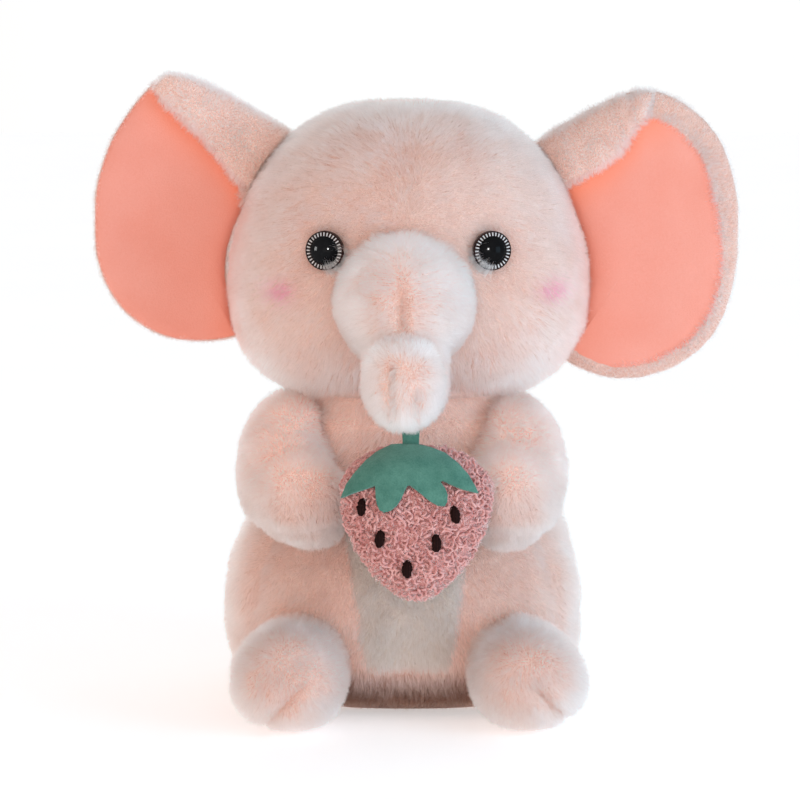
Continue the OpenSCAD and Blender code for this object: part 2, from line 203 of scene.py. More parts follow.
def tube(name, path, around, rows_per_mm=0.8):
    """A round-ended form along path, rows of (x, y, z, radius)."""
    path = np.asarray(path, float)
    length = np.concatenate([[0], np.cumsum(np.linalg.norm(np.diff(path[:, :3], axis=0), axis=1))])
    s = np.linspace(0, length[-1], max(8, int(length[-1] * rows_per_mm)))
    line = np.stack([smooth(s, length, path[:, k]) for k in range(4)], 1)
    tangent = unit(np.gradient(line[:, :3], axis=0))
    side = np.array([1.0, 0, 0])
    rows = []
    t = np.linspace(0, 2 * np.pi, around, endpoint=False)

    def ring(c, tan, r):
        u = unit(side - tan * (side @ tan))
        v = np.cross(tan, u)
        return c + r * (np.cos(t)[:, None] * u + np.sin(t)[:, None] * v)

    for a in np.linspace(0.12, np.pi / 2, 14, endpoint=False):
        r = line[0, 3]
        rows.append(ring(line[0, :3] - tangent[0] * r * math.cos(a), tangent[0], r * math.sin(a)))
    for c, tan in zip(line, tangent):
        rows.append(ring(c[:3], tan, c[3]))
    for a in np.linspace(0, np.pi / 2 - 0.12, 14)[1:]:
        r = line[-1, 3]
        rows.append(ring(line[-1, :3] + tangent[-1] * r * math.sin(a), tangent[-1], r * math.cos(a)))
    return lathe(name, rows, around)


def join(objs, name):
    """One object from several, their meshes laid together."""
    points, faces, start = [], [], 0
    for o in objs:
        p = vertices_of(o)
        points.append(p)
        faces += [[v + start for v in f.vertices] for f in o.data.polygons]
        start += len(p)
        bpy.data.objects.remove(o)
    return make(name, np.concatenate(points), faces)


def melt(obj, voxel, rounds=6):
    """Fuses overlapping closed forms into one skin and relaxes it."""
    r = obj.modifiers.new("melt", "REMESH")
    r.mode = "VOXEL"
    r.voxel_size = voxel * MM
    r.use_smooth_shade = True
    if rounds:
        m = obj.modifiers.new("relax", "SMOOTH")
        m.factor = 0.5
        m.iterations = rounds
    return apply_modifiers(obj)


def carve(obj, centre, radius):
    """Takes a ball out of obj."""
    cutter, p = icosphere("cutter", 5)
    set_vertices(cutter, p * radius + np.asarray(centre, float))
    m = obj.modifiers.new("carve", "BOOLEAN")
    m.object = cutter
    m.solver = "MANIFOLD"
    m.operation = "DIFFERENCE"
    apply_modifiers(obj)
    bpy.data.objects.remove(cutter)
    return obj


def tuft(obj, height, size, seed, keep=None):
    """Breaks the surface up into small tufts of pile."""
    p, n = vertices_of(obj), normals_of(obj)
    d = 0.6 * noise3(p, size, seed) + 0.4 * noise3(p, size * 0.55, seed + 1)
    if keep is not None:
        d = d * keep(p)
    set_vertices(obj, p + n * (height * d)[:, None])
    return obj


# ---------------------------------------------------------------- materials

def new_material(name):
    m = bpy.data.materials.new(name)
    m.use_nodes = True
    nt = m.node_tree
    return m, nt, nt.nodes["Principled BSDF"]


def node(nt, kind, **values):
    n = nt.nodes.new(kind)
    for key, value in values.items():
        setattr(n, key, value)
    return n


def noise_node(nt, scale, detail=3.0, rough=0.6):
    c = node(nt, "ShaderNodeTexCoord")
    t = node(nt, "ShaderNodeTexNoise")
    t.inputs["Scale"].default_value = scale
    t.inputs["Detail"].default_value = detail
    t.inputs["Roughness"].default_value = rough
    nt.links.new(c.outputs["Object"], t.inputs["Vector"])
    return t


def ramp_node(nt, source, stops):
    r = node(nt, "ShaderNodeValToRGB")
    while len(r.color_ramp.elements) < len(stops):
        r.color_ramp.elements.new(0.5)
    for e, (at, colour) in zip(r.color_ramp.elements, stops):
        e.position = at
        e.color = (*colour, 1)
    nt.links.new(source, r.inputs["Fac"])
    return r


def bump_node(nt, source, strength, distance, bsdf):
    b = node(nt, "ShaderNodeBump")
    b.inputs["Strength"].default_value = strength
    b.inputs["Distance"].default_value = distance
    nt.links.new(source, b.inputs["Height"])
    nt.links.new(b.outputs["Normal"], bsdf.inputs["Normal"])


def cloth_material(name, fine, broad, share, stops, rough, specular, sheen, relief):
    """Cloth coloured by two noises. share is how much of the mix is the fine one.

    sheen is its weight, roughness and tint, and relief the bump's strength and height."""
    m, nt, bsdf = new_material(name)
    fine = noise_node(nt, *fine)
    broad = noise_node(nt, *broad)
    mix = node(nt, "ShaderNodeMath", operation="MULTIPLY_ADD")
    mix.inputs[1].default_value = share
    nt.links.new(fine.outputs["Fac"], mix.inputs[0])
    rest = node(nt, "ShaderNodeMath", operation="MULTIPLY")
    rest.inputs[1].default_value = 1 - share
    nt.links.new(broad.outputs["Fac"], rest.inputs[0])
    nt.links.new(rest.outputs[0], mix.inputs[2])
    colour = ramp_node(nt, mix.outputs[0], stops)
    nt.links.new(colour.outputs["Color"], bsdf.inputs["Base Color"])
    bsdf.inputs["Roughness"].default_value = rough
    bsdf.inputs["Specular IOR Level"].default_value = specular
    bsdf.inputs["Sheen Weight"].default_value = sheen[0]
    bsdf.inputs["Sheen Roughness"].default_value = sheen[1]
    bsdf.inputs["Sheen Tint"].default_value = (*sheen[2], 1)
    bump_node(nt, fine.outputs["Fac"], *relief, bsdf)
    return m


def plush_material(name, deep, pale):
    """The knitted backing and the roots of the pile."""
    return cloth_material(name, (900.0, 4.0, 0.65), (60.0, 2.0), 0.55, [(0.3, deep), (0.68, pale)],
                          0.95, 0.2, (0.6, 0.5, pale), (0.6, 0.0012))


def fur_material(name):
    """Pile, coloured strand by strand and paler towards the tips."""
    m, nt, old = new_material(name)
    out = nt.nodes["Material Output"]
    nt.nodes.remove(old)
    hair = node(nt, "ShaderNodeBsdfHairPrincipled")
    hair.parametrization = "COLOR"
    hair.inputs["Roughness"].default_value = 0.42
    hair.inputs["Radial Roughness"].default_value = 0.55
    hair.inputs["IOR"].default_value = 1.5
    tint = node(nt, "ShaderNodeAttribute", attribute_name="tint")
    tip = node(nt, "ShaderNodeAttribute", attribute_name="tip")
    info = node(nt, "ShaderNodeHairInfo")
    mix = node(nt, "ShaderNodeMix", data_type="RGBA")
    curve = node(nt, "ShaderNodeMath", operation="POWER")
    curve.inputs[1].default_value = 0.6
    nt.links.new(info.outputs["Intercept"], curve.inputs[0])
    nt.links.new(curve.outputs[0], mix.inputs["Factor"])
    nt.links.new(tint.outputs["Color"], mix.inputs["A"])
    nt.links.new(tip.outputs["Color"], mix.inputs["B"])
    nt.links.new(mix.outputs["Result"], hair.inputs["Color"])
    nt.links.new(hair.outputs[0], out.inputs["Surface"])
    return m


def shaded(material, colour):
    """Lets a piece's shade attribute, from 0 to 1, bring its material to another colour."""
    nt = material.node_tree
    base = next(n for n in nt.nodes if n.type == "BSDF_PRINCIPLED").inputs["Base Color"]
    source = base.links[0].from_socket
    share = node(nt, "ShaderNodeAttribute", attribute_name="shade")
    mix = node(nt, "ShaderNodeMix", data_type="RGBA")
    mix.inputs["B"].default_value = (*colour, 1)
    nt.links.new(share.outputs["Fac"], mix.inputs["Factor"])
    nt.links.new(source, mix.inputs["A"])
    nt.links.new(mix.outputs["Result"], base)
    return material


def set_shade(obj, share):
    layer = obj.data.attributes.new("shade", "FLOAT", "POINT")
    layer.data.foreach_set("value", share.astype(np.float32))


PINK_DEEP = (0.70, 0.38, 0.30)
PINK_PALE = (0.825, 0.572, 0.488)
# the backing's shade attribute turns it dark brown, as painted shade
backing = shaded(plush_material("pink_backing", PINK_DEEP, PINK_PALE), (0.075, 0.026, 0.013))
# the belly patch's backing: its own pale colour, darkened as painted shade
white_backing = plush_material("white_backing", (0.46, 0.35, 0.29), (0.70, 0.59, 0.52))
fur = fur_material("fur")


# ---------------------------------------------------------------- fur

def strands(name, body, line, radii, colours):
    """Hair curves along line, one row of points for each strand, riding on body."""
    count, keys = line.shape[:2]
    data = bpy.data.hair_curves.new(name)
    data.add_curves([keys] * count)
    data.attributes["position"].data.foreach_set("vector", (line * MM).astype(np.float32).ravel())
    thick = data.attributes.new("radius", "FLOAT", "POINT")
    thick.data.foreach_set("value", (radii * MM).astype(np.float32))
    for key, rgb in zip(("tint", "tip"), colours):
        layer = data.attributes.new(key, "FLOAT_COLOR", "CURVE")
        rgba = np.concatenate([rgb, np.ones((count, 1))], 1)
        layer.data.foreach_set("color", rgba.astype(np.float32).ravel())
    data.materials.append(fur)
    pile = bpy.data.objects.new(name, data)
    bpy.context.collection.objects.link(pile)
    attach(pile, body)
    return pile


def grow(obj, body, count, length, flow, lean, tint, tip, where=None, clump=1.3, gather=0.45, radius=0.075,
         fuzz=0.22, shorten=None):
    """Pile on obj. flow gives the way it lies, lean how far over, and gather how tightly it forms tufts."""
    mesh = obj.data
    mesh.calc_loop_triangles()
    tris = np.zeros(len(mesh.loop_triangles) * 3, np.int32)
    mesh.loop_triangles.foreach_get("vertices", tris)
    tris = tris.reshape(-1, 3)
    p, n = vertices_of(obj), normals_of(obj)
    a, b, c = p[tris[:, 0]], p[tris[:, 1]], p[tris[:, 2]]
    area = np.linalg.norm(np.cross(b - a, c - a), axis=1) / 2
    if where is not None:
        area = area * where((a + b + c) / 3, unit(n[tris].mean(1)))
    pick = rng.choice(len(tris), size=count, p=area / area.sum())
    u, v = rng.random(count), rng.random(count)
    over = u + v > 1
    u[over], v[over] = 1 - u[over], 1 - v[over]
    w = np.stack([1 - u - v, u, v], 1)
    root = (p[tris[pick]] * w[:, :, None]).sum(1)
    normal = unit((n[tris[pick]] * w[:, :, None]).sum(1))

    centres = max(8, int(area.sum() / (clump * clump)))
    centre = rng.choice(count, size=min(centres, count), replace=False)
    tree = kdtree.KDTree(len(centre))
    for i, k in enumerate(centre):
        tree.insert(root[k], i)
    tree.balance()
    owner = centre[np.array([tree.find(q)[1] for q in root])]

    lies = flow(root, normal)
    lies = lies - normal * (lies * normal).sum(1, keepdims=True)
    sway = rng.normal(size=(count, 3)) * 0.16
    wave = np.stack([noise3(root, 6.0, s) for s in (3, 4, 5)], 1) * 0.6
    lies = lies + wave - normal * (wave * normal).sum(1, keepdims=True)
    way = unit(normal + lies * lean + sway)
    long = length * (0.78 + 0.44 * rng.random(count)) * (1 + 0.18 * noise3(root, 7.0, 8))
    if shorten is not None:
        long = long * shorten(root)
    t = np.linspace(0, 1, 4)
    settle = unit(way + lies * 0.5 * lean)
    strand = root[:, None] + long[:, None, None] * (
        way[:, None] * t[None, :, None] + (settle - way)[:, None] * (t * t)[None, :, None]
    )
    goal = strand[owner]
    reach = (0.7 + 0.5 * rng.random(count)) * gather
    pull = np.clip(reach, 0, 0.95)[:, None, None] * (t**1.3)[None, :, None]
    strand = strand * (1 - pull) + goal * pull
    strand += rng.normal(size=strand.shape) * (fuzz * t)[None, :, None]

    colours = []
    for colour in (tint, tip):
        rgb = colour(root) if callable(colour) else np.tile(colour, (count, 1))
        colours.append(np.clip(rgb * (1 + rng.normal(size=(count, 1)) * 0.05), 0.005, 0.995))
    return strands(obj.name + "_fur", body, strand, np.tile(radius * (1 - 0.85 * t**1.5), count), colours)


def down(root, normal):
    return np.tile([0.0, 0, -1.0], (len(root), 1))


PILE = 4.3  # length of the plush
LEAN = 0.5
ROOT_PINK = np.array([0.85, 0.60, 0.53])
TIP_PINK = np.array([0.93, 0.64, 0.57])
TIP_WHITE = np.array([0.96, 0.75, 0.70])
# WARM_ROOT and WARM_TIP are painted into creases, folds and tucks as painted shade, and onto the low face of
# each foot
WARM_ROOT = np.array([0.84, 0.33, 0.22])
WARM_TIP = np.array([0.90, 0.56, 0.47])

# the limbs and the trunk, as balls of (x, y, z, radius)
TRUNK = [
    (-1.0, -45, 170.5, 26.5),
    (-1.6, -65, 168.5, 25.8),
    (-1.4, -81, 161, 21.0),
    (-1.0, -89, 152, 15.5),
    (-0.8, -96, 142, 15.5),
]
ARMS = {
    1: [
        (40, -14, 107, 20), (42.5, -26, 102.5, 20.5), (43, -38, 96, 20), (42, -51, 91.5, 19),
        (40.5, -62, 90, 17.5),
    ],
    -1: [
        (-46, -14, 107, 20), (-48.5, -26, 102.5, 20.5), (-49, -38, 96, 20), (-45.5, -51, 91.5, 19),
        (-40.5, -62, 90, 17.5),
    ],
}
FOOT_X, FOOT_WIDE = 47.5, 1.07
FOOT = [(43.5, -48, 22, 18.5), (45.5, -61, 21, 19.5), (FOOT_X, -76, 20.5, 20.5)]


def mirrored(path, side):
    return [(side * x, y, z, r) for x, y, z, r in path]


def tube_distance(p, path):
    """Distance from points p to the skin of the tube along path."""
    path = np.asarray(path, float)
    best = np.full(len(p), 1e9)
    for a, b in zip(path[:-1], path[1:]):
        ab = b[:3] - a[:3]
        t = np.clip((p - a[:3]) @ ab / (ab @ ab), 0, 1)
        d = np.linalg.norm(p - a[:3] - t[:, None] * ab, axis=1) - a[3] - (b[3] - a[3]) * t
        best = np.minimum(best, d)
    return best


def creased(distance, reach):
    """How far points lie down between two forms, from 0 to 1, by their distance to the other form."""
    return np.exp(-((np.maximum(distance, 0) / reach) ** 2))


def warmed(colour, share, goal):
    share = np.clip(share, 0, 1)[:, None]
    return colour * (1 - share) + goal * share


def finish_soft(obj, body, *nodes, slot="pink_plush", material=backing, fill=0.8):
    obj.data.materials.clear()
    obj.data.materials.append(material)
    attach(obj, body)
    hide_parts(*nodes)
    return obj


# ---------------------------------------------------------------- head

HEAD = np.array([0, 0, 183.0])
HEAD_SIZE = np.array([73.5, 57.0, 62.0])
HEAD_ROUND, HEAD_SQUARE = 2.3, 2.7
NECK = np.array([0, 5.0, 118.0])
NECK_R = 44.0
INSET = 2.2  # how far each sewn skin lies inside its form, so that its pile ends at the form's size
TORSO = np.array([
    # height, half width, half depth, y, squareness
    (0, 54.7, 42.0, 0, 2.4),
    (5, 61.9, 50.4, 0, 2.4),
    (14, 69.1, 56.4, 0, 2.4),
    (26, 71.7, 59.6, 0, 2.4),
    (38, 72.0, 60.0, 0, 2.4),
    (52, 70.6, 57.0, 0, 2.4),
    (68, 65.7, 52.2, 1, 2.4),
    (86, 57.9, 48.6, 2, 2.4),
    (102, 52.6, 47.4, 4, 2.3),
    (113, 49.7, 46.8, 5, 2.15),
    (119, 44.6, 44.4, 5, 2.0),
])


def torso_at(z):
    """Half width, half depth, y and squareness at heights z."""
    z = np.asarray(z, float)
    rows = [smooth(z, TORSO[:, 0], TORSO[:, k]) for k in range(1, 5)]
    dome = np.sqrt(np.maximum(NECK_R**2 - (z - NECK[2]) ** 2, 0))
    share = step(z, 116, 121)
    rows[0] = rows[0] * (1 - share) + dome * share
    rows[1] = rows[1] * (1 - share) + dome * share
    return rows


def torso_field(p):
    """Below 1 inside the torso, above 1 outside."""
    a, b, y, e = torso_at(np.clip(p[:, 2], 0, 160))
    return ((np.abs(p[:, 0]) / a) ** e + (np.abs(p[:, 1] - y) / b) ** e) ** (1 / e)


EYE_X, EYE_Z, EYE_TOE = 33.3, 188.5, math.radians(18)


def head_shares(rise):
    """Shares of the full width and depth, from the chin at -1 to the crown at 1."""
    rise = np.clip(rise, -1.1, 1.1)
    return 0.975 - np.where(rise > 0, 0.2, 0.1) * rise, 1 - 0.1 * np.maximum(rise, 0)


EYE_W, EYE_D = (float(v) for v in head_shares((EYE_Z - HEAD[2]) / HEAD_SIZE[2]))
EYE_Y = -HEAD_SIZE[1] * EYE_D * (1 - (EYE_X / (HEAD_SIZE[0] * EYE_W)) ** HEAD_ROUND) ** (1 / HEAD_ROUND)
EYES = {s: np.array([s * EYE_X, EYE_Y, EYE_Z]) for s in (1, -1)}
SIDE = {1: "left", -1: "right"}


def head_radius(d, size):
    x, y, z = (np.abs(d[:, k]) / size[k] for k in range(3))
    flat = (x**HEAD_ROUND + y**HEAD_ROUND) ** (HEAD_SQUARE / HEAD_ROUND)
    return (flat + z**HEAD_SQUARE) ** (-1 / HEAD_SQUARE)


def head_value(p):
    """Below 1 inside the head, above 1 outside."""
    q = p - HEAD
    wide, deep = head_shares(q[:, 2] / HEAD_SIZE[2])
    return 1 / head_radius(q / np.stack([wide, deep, np.ones(len(q))], 1), HEAD_SIZE)


def clear_of_head(p, margin=1.02):
    """Moves points sideways until they are outside the head."""
    p = p.copy()
    for _ in range(3):
        f = head_value(p)
        inside = (f < margin) & (np.abs(p[:, 0]) > 20)
        p[inside, 0] *= (margin / f[inside]) ** 1.1
    return p


def eye_distance(p):
    return np.minimum(*(np.linalg.norm(p - EYES[s], axis=1) for s in (1, -1)))


head, d = icosphere("head", 6)
shape = HEAD_SIZE - INSET
p = d * head_radius(d, shape)[:, None]
wide, deep = head_shares(p[:, 2] / HEAD_SIZE[2])
p = HEAD + p * np.stack([wide, deep, np.ones(len(p))], 1)
set_vertices(head, p)
n = normals_of(head)
lift = (
    1.6 * bump(p, (48, -38, 166), (24, 24, 20))
    + 1.6 * bump(p, (-48, -38, 166), (24, 24, 20))
    - 1.1 * bump(p, (0, -50, 226), (3.5, 16, 20))
    - 1.4 * bump(p, (62, -28, 206), (5, 8, 16))
    + 0.8 * noise3(p, 26.0, 2)
)
for s in (1, -1):
    lift -= 2.2 * np.exp(-((np.linalg.norm(p - EYES[s], axis=1) / 9.5) ** 4))
p = p + n * lift[:, None]
set_vertices(head, p)
carve(head, NECK, NECK_R + 1.6)
tuft(head, 0.55, 2.6, 20)
finish_soft(head, "head", "head_left_panel", "head_right_panel", "head_filling", fill=0.9)


def head_flow(root, normal):
    away = root - np.array([0, -60, 178.0])
    away[:, 1] *= 0.3
    return unit(unit(away) * 0.6 + np.array([0, 0, -0.6]))


def head_where(c, normal):
    inside = np.linalg.norm(c - NECK, axis=1) < NECK_R + 3
    keep = np.where(inside, 0.0, 1.0)
    return keep * step(eye_distance(c), 7.2, 7.9)


def blush(root):
    left = bump(root, (57, -32, 172), (7, 30, 5)) + 0.9 * bump(root, (57, -32, 172), (3, 30, 2))
    right = bump(root, (-50.5, -42, 172), (6.5, 30, 5)) + 0.9 * bump(root, (-49, -42, 172), (2.5, 30, 2))
    return np.clip(left + right, 0, 1)[:, None]


BLUSH = np.array([0.88, 0.20, 0.36])


def plush_tint(root):
    return ROOT_PINK + 0.05 * noise3(root, 14.0, 30)[:, None]


def by_head(q, reach):
    return creased((head_value(q) - 1) * 60, reach)


def by_torso(q, reach):
    return creased((torso_field(q) - 1) * 50, reach)


# Painted shade: the pile turns deep and warm where the head meets the torso, the trunk and the arms.
def head_crease_shade(root):
    trunk_side = tube_distance(root, TRUNK)
    arms = np.minimum(tube_distance(root, ARMS[1]), tube_distance(root, ARMS[-1]))
    return np.maximum.reduce([by_torso(root, 9), 0.75 * creased(trunk_side, 4.5), creased(arms, 7)])


def head_tint(root):
    c = warmed(plush_tint(root), head_crease_shade(root), WARM_ROOT)
    return c * (1 - blush(root)) + BLUSH * blush(root)


def head_tip(root):
    pale = step(noise3(root, 10.0, 31), -0.6, 0.8)[:, None]
    c = warmed(TIP_PINK * (1 - pale) + TIP_WHITE * pale, 0.75 * head_crease_shade(root), WARM_TIP)
    b = blush(root) * 0.95
    return c * (1 - b) + np.array([0.92, 0.26, 0.44]) * b


def head_short(root):
    return 0.45 + 0.55 * step(eye_distance(root), 7, 15)


grow(head, "head", 170000, PILE, head_flow, LEAN, head_tint, head_tip, head_where, shorten=head_short)


def inner_side(q, side):
    """Where q lies round an eye, in degrees from straight up, growing towards the trunk."""
    away = q - EYES[side]
    return np.degrees(np.arctan2(-side * away[:, 0], away[:, 2]))


for s in (1, -1):
    def lash_where(c, normal, s=s):
        near = np.linalg.norm(c - EYES[s], axis=1)
        turn = inner_side(c, s)
        return ((near > 8.4) & (near < 11.0)) * step(turn, 78, 105) * step(205 - turn, 20, 45)

    def lash_flow(root, normal, s=s):
        return unit(EYES[s] - root)

    grow(head, "head", 900, 8.0, lash_flow, 0.8, (0.80, 0.62, 0.56), (0.93, 0.87, 0.86), lash_where,
         clump=0.9, gather=0.08, radius=0.055, fuzz=0.3)

# ---------------------------------------------------------------- trunk

stalk = tube("stalk", [(x, y, z, r - INSET) for x, y, z, r in TRUNK], 96)
curl, d = icosphere("curl", 5)
set_vertices(curl, np.array([-1.2, -102, 142.5]) + d * (np.array([15.8, 17.4, 18.4]) - INSET))
trunk = melt(join([stalk, curl], "trunk"), 1.0, 4)
p, n = vertices_of(trunk), normals_of(trunk)
p[:, 0] *= 1 + 0.05 * step(p[:, 2], 156, 164)
front = step(-n[:, 1], 0.1, 0.6)


def trunk_folds(q):
    """The lines that the trunk's seams and stuffing pull in: one down the bulge and two on the curled end."""
    up = np.exp(-(((q[:, 0] + 2.3) / 2.1) ** 2)) * step(q[:, 2], 158, 165) * step(182 - q[:, 2], 0, 9)
    long_fold = np.exp(-(((q[:, 0] + 6.4) / 1.3) ** 2)) * step(q[:, 2], 128, 134) * step(153 - q[:, 2], 0, 4)
    short_fold = np.exp(-(((q[:, 0] - 3.3) / 1.2) ** 2)) * step(q[:, 2], 127, 131) * step(144 - q[:, 2], 0, 5)
    return up * (q[:, 1] < -70), long_fold * (q[:, 1] < -105), short_fold * (q[:, 1] < -105)


def trunk_rest(q):
    """The line where the curled end lies against the bulge."""
    return np.exp(-(((q[:, 2] - 158.5 + 0.012 * q[:, 0] ** 2) / 2.0) ** 2)) * step(-q[:, 1], 92, 101)


up, long_fold, short_fold = trunk_folds(p)
lift = -(2.4 * up + 2.8 * long_fold + 2.2 * short_fold + 2.0 * trunk_rest(p)) * front
lift += 0.7 * noise3(p, 13.0, 42)
set_vertices(trunk, p + n * lift[:, None])
tuft(trunk, 0.5, 2.5, 40)
finish_soft(trunk, "trunk", "trunk_left_panel", "trunk_right_panel", "trunk_filling", fill=0.9)


def trunk_flow(root, normal):
    way = np.zeros_like(root)
    end = step(-root[:, 1], 96, 104) * step(160 - root[:, 2], 0, 4)
    way[:, 0] = np.sign(root[:, 0] + 2.3) * step(np.abs(root[:, 0] + 2.3), 0, 3) * 0.8 * (1 - 0.75 * end)
    way[:, 1] = -0.2
    way[:, 2] = -0.5 + 1.0 * step(root[:, 2], 182, 196) + end * (1.5 * step(root[:, 2], 149, 155) - 0.3)
    return way


# Painted shade in the trunk's folds, along the line where the curled end rests, and where the trunk meets the
# head.
def trunk_fold_shade(root):
    up, long_fold, short_fold = trunk_folds(root)
    folds = [0.9 * up, 0.8 * long_fold, 0.8 * short_fold]
    return np.maximum.reduce([*folds, 0.4 * trunk_rest(root), 0.6 * by_head(root, 4.5)])


def trunk_top_light(root):
    """1 on the top of the bulge, which is painted paler, as painted light from above."""
    return step(root[:, 2], 160, 182)


def trunk_cool(root):
    """A cooler tone for the curled end."""
    share = step(-root[:, 1], 96, 104) * step(160 - root[:, 2], 0, 4)
    return 1 - share[:, None] * np.array([0.16, 0.05, 0.02])


# The top of the bulge is painted paler as painted light, and the folds deeper as painted shade.
def trunk_tint(root):
    base = warmed(np.array([0.86, 0.68, 0.62]), trunk_top_light(root), np.array([0.94, 0.81, 0.77]))
    return warmed(base * trunk_cool(root), trunk_fold_shade(root), WARM_ROOT)


def trunk_tip(root):
    # Painted highlight: a pale arc along the top of the curled end; above it painted light on the bulge,
    # painted shade in the folds.
    arc = step(root[:, 2], 149, 153) * step(158 - root[:, 2], 0, 2) * step(-root[:, 1], 100, 106)
    pale = warmed(np.array([0.94, 0.75, 0.70]), trunk_top_light(root), np.array([0.985, 0.86, 0.84]))
    pale = warmed(pale * trunk_cool(root), arc, np.array([0.96, 0.92, 0.91]))
    return warmed(pale, 0.85 * trunk_fold_shade(root), WARM_TIP)


def trunk_short(root):
    up, long_fold, short_fold = trunk_folds(root)
    return 1 - 0.5 * np.maximum.reduce([up, long_fold, short_fold])


def trunk_where(c, normal):
    return np.where(head_value(c) < 0.96, 0.0, 1.0)


trunk_pile = grow(trunk, "trunk", 66000, PILE * 0.95, trunk_flow, LEAN, trunk_tint, trunk_tip, trunk_where,
                  gather=0.5, shorten=trunk_short)
crowned = [trunk, trunk_pile]

# ---------------------------------------------------------------- torso

def sheltered(root):
    """1 on the chest and shoulders, where the head takes the light from above; the pile there is painted paler
    as painted light, and the backing below a little darker as painted shade.
    """
    return step(root[:, 2], 86, 106)


def under_belly(root):
    """The shaded strip below the patch, between the feet."""
    return step(25 - root[:, 2], 0, 17) * step(-root[:, 1], 30, 42) * step(38 - np.abs(root[:, 0]), 0, 8)


AROUND = 340
angle = np.linspace(0, 2 * np.pi, AROUND, endpoint=False)


def torso_ring(z, inset, share=1.0):
    a, b, y, e = (float(v) for v in torso_at(np.array([z])) for v in np.atleast_1d(v))
    a, b = max(a - inset, 0.5) * share, max(b - inset, 0.5) * share
    c, s = np.cos(angle), np.sin(angle)
    return np.stack([
        a * np.sign(c) * np.abs(c) ** (2 / e),
        y + b * np.sign(s) * np.abs(s) ** (2 / e),
        np.full(AROUND, z + (0.25 if share < 1 else 0)),
    ], 1)


rows = [torso_ring(0, INSET, s) for s in np.linspace(0.04, 0.985, 26)]
rows += [torso_ring(z, INSET) for z in np.concatenate([[0.4], np.arange(1.5, 148, 1.45)])]
rows += [torso_ring(148, INSET, s) for s in np.linspace(0.95, 0.05, 8)]
torso = lathe("torso", rows, AROUND)
p, n = vertices_of(torso), normals_of(torso)
low = step(p[:, 2], 4, 16)
seam_x = smooth(p[:, 2], [0, 20, 40, 80, 120], [52, 59, 60, 50, 40])
front_seam = np.exp(-(((np.abs(p[:, 0]) - seam_x) / 2.2) ** 2)) * step(-p[:, 1], 0, 12) * low
front_seam *= step(112 - p[:, 2], 0, 20)
back_seam = np.exp(-((p[:, 0] / 2.2) ** 2)) * step(p[:, 1], 0, 20) * low * step(118 - p[:, 2], 0, 6)
lift = (
    -2.2 * front_seam
    - 1.6 * back_seam
    + 1.5 * noise3(p, 30.0, 5) * low
    - 1.5 * bump(p, (0, -58, 8), (60, 16, 5))
    + 3.0 * bump(p, (-72, 0, 48), (25, 60, 34))
    - 1.5 * bump(p, (72, 0, 48), (25, 60, 34))
    - 2.0 * bump(p, (16, -44, 108), (3.0, 10, 16))
    - 2.0 * bump(p, (-18, -44, 108), (3.0, 10, 16))
)
p = p + n * lift[:, None]
p[:, 2] = np.maximum(p[:, 2], 0.2)
set_vertices(torso, p)
tuft(torso, 0.55, 2.7, 50, keep=lambda q: step(q[:, 2], 3, 8))
p = vertices_of(torso)
# painted shade on the backing: dark under the belly, and a little darker away from the chest
set_shade(torso, np.maximum(under_belly(p), 0.08 * (1 - sheltered(p))))
finish_soft(torso, "torso", "torso_front_left", "torso_front_right", "torso_back_left", "torso_back_right",
            "seat_panel", "torso_filling", fill=0.85)


def patch_half(z):
    return smooth(z, [18, 35, 60, 92], [16.0, 18.8, 22.2, 25.5])


def patch_share(q):
    """1 inside the belly patch, 0 outside."""
    half = patch_half(q[:, 2])
    wave = 0.3 * noise3(q, 8.0, 61)
    inside = step(half + wave - np.abs(q[:, 0] + 0.5), -0.6, 0.6)
    return inside * step(q[:, 2] + wave, 19, 20.5) * step(94 - q[:, 2], 0, 2) * (q[:, 1] < -20)


def torso_where(c, normal):
    keep = (c[:, 2] > 1.5) & (c[:, 2] < 128)
    return keep * (1 - patch_share(c)) * np.where(c[:, 2] < 5, 0.35, 1.0)


# Painted shade where the torso meets the arms, the feet and the head.
def torso_crease_shade(root):
    paths = [ARMS[1], ARMS[-1], mirrored(FOOT, 1), mirrored(FOOT, -1)]
    limbs = np.minimum.reduce([tube_distance(root, path) for path in paths])
    return np.maximum(creased(limbs, 6), by_head(root, 12))


# the dark brown painted into the strip under the belly, as painted shade
UNDER_BELLY_SHADE = np.array([0.065, 0.022, 0.011])


# Painted shade in the creases and under the belly; the chest, which the head shades, is painted paler and
# warmer as painted light.
def torso_tint(root):
    c = warmed(plush_tint(root) * [0.96, 0.84, 0.80], torso_crease_shade(root), WARM_ROOT)
    c = warmed(c, 0.7 * sheltered(root), np.array([0.96, 0.56, 0.45]))
    return warmed(c, 0.97 * under_belly(root), UNDER_BELLY_SHADE)


# Painted shade in the creases and under the belly, painted light on the chest.
def torso_tip(root):
    pale = step(noise3(root, 9.0, 52), -0.5, 0.9)[:, None]
    c = np.array([0.86, 0.59, 0.52]) * (1 - pale) + np.array([0.89, 0.68, 0.62]) * pale
    c = warmed(c, 0.8 * torso_crease_shade(root), WARM_TIP)
    c = warmed(c, 0.7 * sheltered(root), np.array([0.97, 0.70, 0.62]))
    return warmed(c, 0.97 * under_belly(root), UNDER_BELLY_SHADE * 1.4)


torso_pile = grow(torso, "torso", 150000, PILE, down, LEAN, torso_tint, torso_tip, torso_where,
                  shorten=lambda q: 0.35 + 0.65 * step(q[:, 2], 2, 10))
below_head = [torso, torso_pile]

